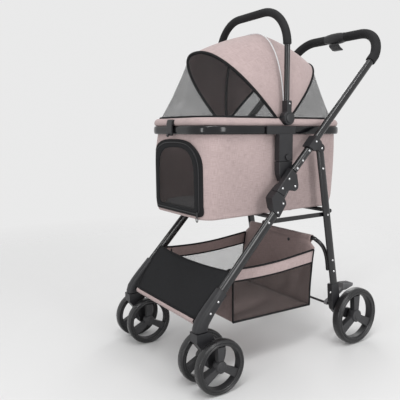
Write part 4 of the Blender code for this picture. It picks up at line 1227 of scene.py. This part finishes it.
def build_apron():
    """The black front panel between the legs, with a curved upper edge and a fabric strip below."""
    normal = Vector((0, -sin(radians(47.5)), cos(radians(47.5))))

    def spot(x, share):
        """share runs from the lower edge (0) to the upper edge (1)."""
        neck = clamped((0.66 - share) / 0.1)
        wide = 0.1965 - 0.0085 * neck - 0.016 * max(0.0, (0.56 - share) / 0.56) ** 2
        low = Vector((0, -0.3375, 0.1895))
        high = Vector((0, -0.231, 0.3065))
        sink = 0.105 * (1 - (x / 0.2) ** 2) * share
        at = low.lerp(high, share) - (high - low).normalized() * sink * 0.12
        at += normal * 0.0085 * min(share * 2.5, 1.0)
        sag = 0.006 * sin(pi * share) * (1 - (x / 0.2) ** 2)
        curl = 0.003 * max(0.0, (abs(x) - 0.16) / 0.026) ** 2
        lump = 0.0015 * noise.noise(Vector((x * 11, share * 2.2, 4.0)))
        at = at - normal * (sag + curl + lump)
        return (x * wide / 0.186, at.y, at.z)

    xs = np.linspace(-0.186, 0.186, 41)
    panel = Shape()
    panel.grid([[spot(x, k / 16) for x in xs] for k in range(17)])
    obj = finish_piece("front_panel", panel, "black", "frame", sharp=60)
    thickened(obj, 0.0014)
    trim = Shape()
    add_tube(trim, [spot(x, 1.0) for x in xs], 0.0024, 10)
    add_tube(trim, [spot(x, 0.0) for x in xs], 0.0022, 10)
    for x in (xs[0], xs[-1]):
        add_tube(trim, [spot(x, k / 16) for k in range(17)], 0.0022, 10)
    piping = solid("front_panel_piping", trim, "binding", "frame")
    strip = Shape()
    rows = []
    for k in range(9):
        turn = radians(125 + 150 * k / 8)
        rows.append([(x * 0.93, -0.334 + 0.0072 * cos(turn), 0.1815 + 0.0085 * sin(turn))
                     for x in xs])
    strip.grid(rows)
    wrap = finish_piece("front_strip", strip, "pink", "frame", sharp=60)
    thickened(wrap, 0.001)
    return [obj, piping, wrap]


# ---- carried-over nodes

def dress_nodes():
    """Bevels and materials for the nodes that keep their own shape."""
    finishes = {
        "latch_upper": ("plastic", 0.0012), "latch_lower": ("plastic", 0.0014),
        "leg_bracket": ("plastic", 0.0014), "rear_foot": ("plastic", 0.0022),
        "caster_fork": ("plastic", 0.003), "carrier_receiver": ("plastic", 0.0014),
        "clip_post": ("plastic", 0.0014), "handle_hub": ("plastic", 0.001),
        "side_link": ("tube", 0.001), "release_button": ("plastic", 0.0008),
        "rear_axle": ("steel", 0.0), "front_axle": ("steel", 0.0),
    }
    for name, obj in NODES.items():
        if obj.hide_render:
            continue
        kind = next((k for k in finishes if name.startswith(k)), None)
        mat, width = finishes.get(kind, ("plastic", 0.001))
        obj.data.materials.clear()
        obj.data.materials.append(M[mat])
        if width:
            weld = obj.modifiers.new("weld", "WELD")
            weld.merge_threshold = 0.00003
            bevelled(obj, width, 2, 30)
            smooth = obj.modifiers.new("smooth", "WEIGHTED_NORMAL")
            smooth.keep_sharp = True


# ---- stage, light and camera

def build_stage():
    floor = Shape()
    floor.stack(0.0, 0.0, [(-0.0004, r) for r in (0.0, 0.5, 1.0, 1.6, 2.4, 3.4, 5.0)], 64)
    M["floor"], tree, shader = new_material("pale_floor", Base_Color=(0.66, 0.66, 0.66, 1.0), Roughness=0.9,
                                            Specular_IOR_Level=0.1)
    where = tree.nodes.new("ShaderNodeVectorMath")
    where.operation = "LENGTH"
    tree.links.new(coordinates(tree), where.inputs[0])
    fade = math_node(tree, "MULTIPLY_ADD", where.outputs["Value"], -0.55, 1.45, clamp=True)
    tree.links.new(fade, shader.inputs["Alpha"])
    obj = finish_piece("floor", floor, "floor", None)
    world = bpy.data.worlds.new("studio")
    bpy.context.scene.world = world
    world.use_nodes = True
    back = world.node_tree.nodes["Background"]
    back.inputs["Color"].default_value = (0.82, 0.82, 0.82, 1.0)
    back.inputs["Strength"].default_value = 1.0


def add_light(name, place, size, power, target=(0.0, 0.0, 0.55), long_side=None):
    light = bpy.data.lights.new(name, "AREA")
    light.shape = "RECTANGLE"
    light.size, light.size_y = size
    light.energy = power
    obj = bpy.data.objects.new(name, light)
    obj.location = place
    toward = Vector(target) - Vector(place)
    obj.rotation_mode = "QUATERNION"
    obj.rotation_quaternion = toward.to_track_quat("-Z", "Y")
    if long_side:
        back = -toward.normalized()
        across = Vector(long_side).cross(back).normalized()
        turned = Matrix((across, back.cross(across), back)).transposed()
        obj.rotation_quaternion = turned.to_quaternion()
    bpy.context.scene.collection.objects.link(obj)


def build_lights():
    add_light("key", (0.95, -2.85, 0.7), (0.3, 1.4), 11.0)
    add_light("strip", (1.32, -1.14, 2.95), (0.3, 2.6), 38.0, long_side=(0.0, 0.695, 0.719))
    add_light("side", (2.8, 0.3, 1.1), (0.7, 1.8), 24.0)
    add_light("top", (0.0, 0.2, 3.2), (2.4, 2.4), 9.0)
    add_light("back", (-1.8, 1.9, 1.7), (0.8, 1.8), 14.0)


def build_camera():
    azimuth, elevation = radians(55.527), radians(5.66)
    back = Vector((sin(azimuth) * cos(elevation), -cos(azimuth) * cos(elevation),
                   sin(elevation)))
    data = bpy.data.cameras.new("camera")
    data.type = "PERSP"
    data.sensor_width = 36.0
    data.lens = 46.316
    data.shift_x = -0.0407
    data.shift_y = -0.0447
    data.clip_start, data.clip_end = 0.05, 50.0
    camera = bpy.data.objects.new("camera", data)
    camera.location = (1.3247, -1.0661, 0.697)
    camera.rotation_mode = "QUATERNION"
    camera.rotation_quaternion = (-back).to_track_quat("-Z", "Y")
    bpy.context.scene.collection.objects.link(camera)
    bpy.context.scene.camera = camera
    bpy.context.scene.view_settings.view_transform = "Standard"


build_camera()
build_wheels()
build_sockets()
build_tubes()
build_brake()
build_latch_rods()
build_rivets()
build_handle()
build_carry_handle()
build_tub()
build_door()
build_rim()
build_pad()
build_canopy()
build_basket()
dress_nodes()
build_stage()
build_lights()
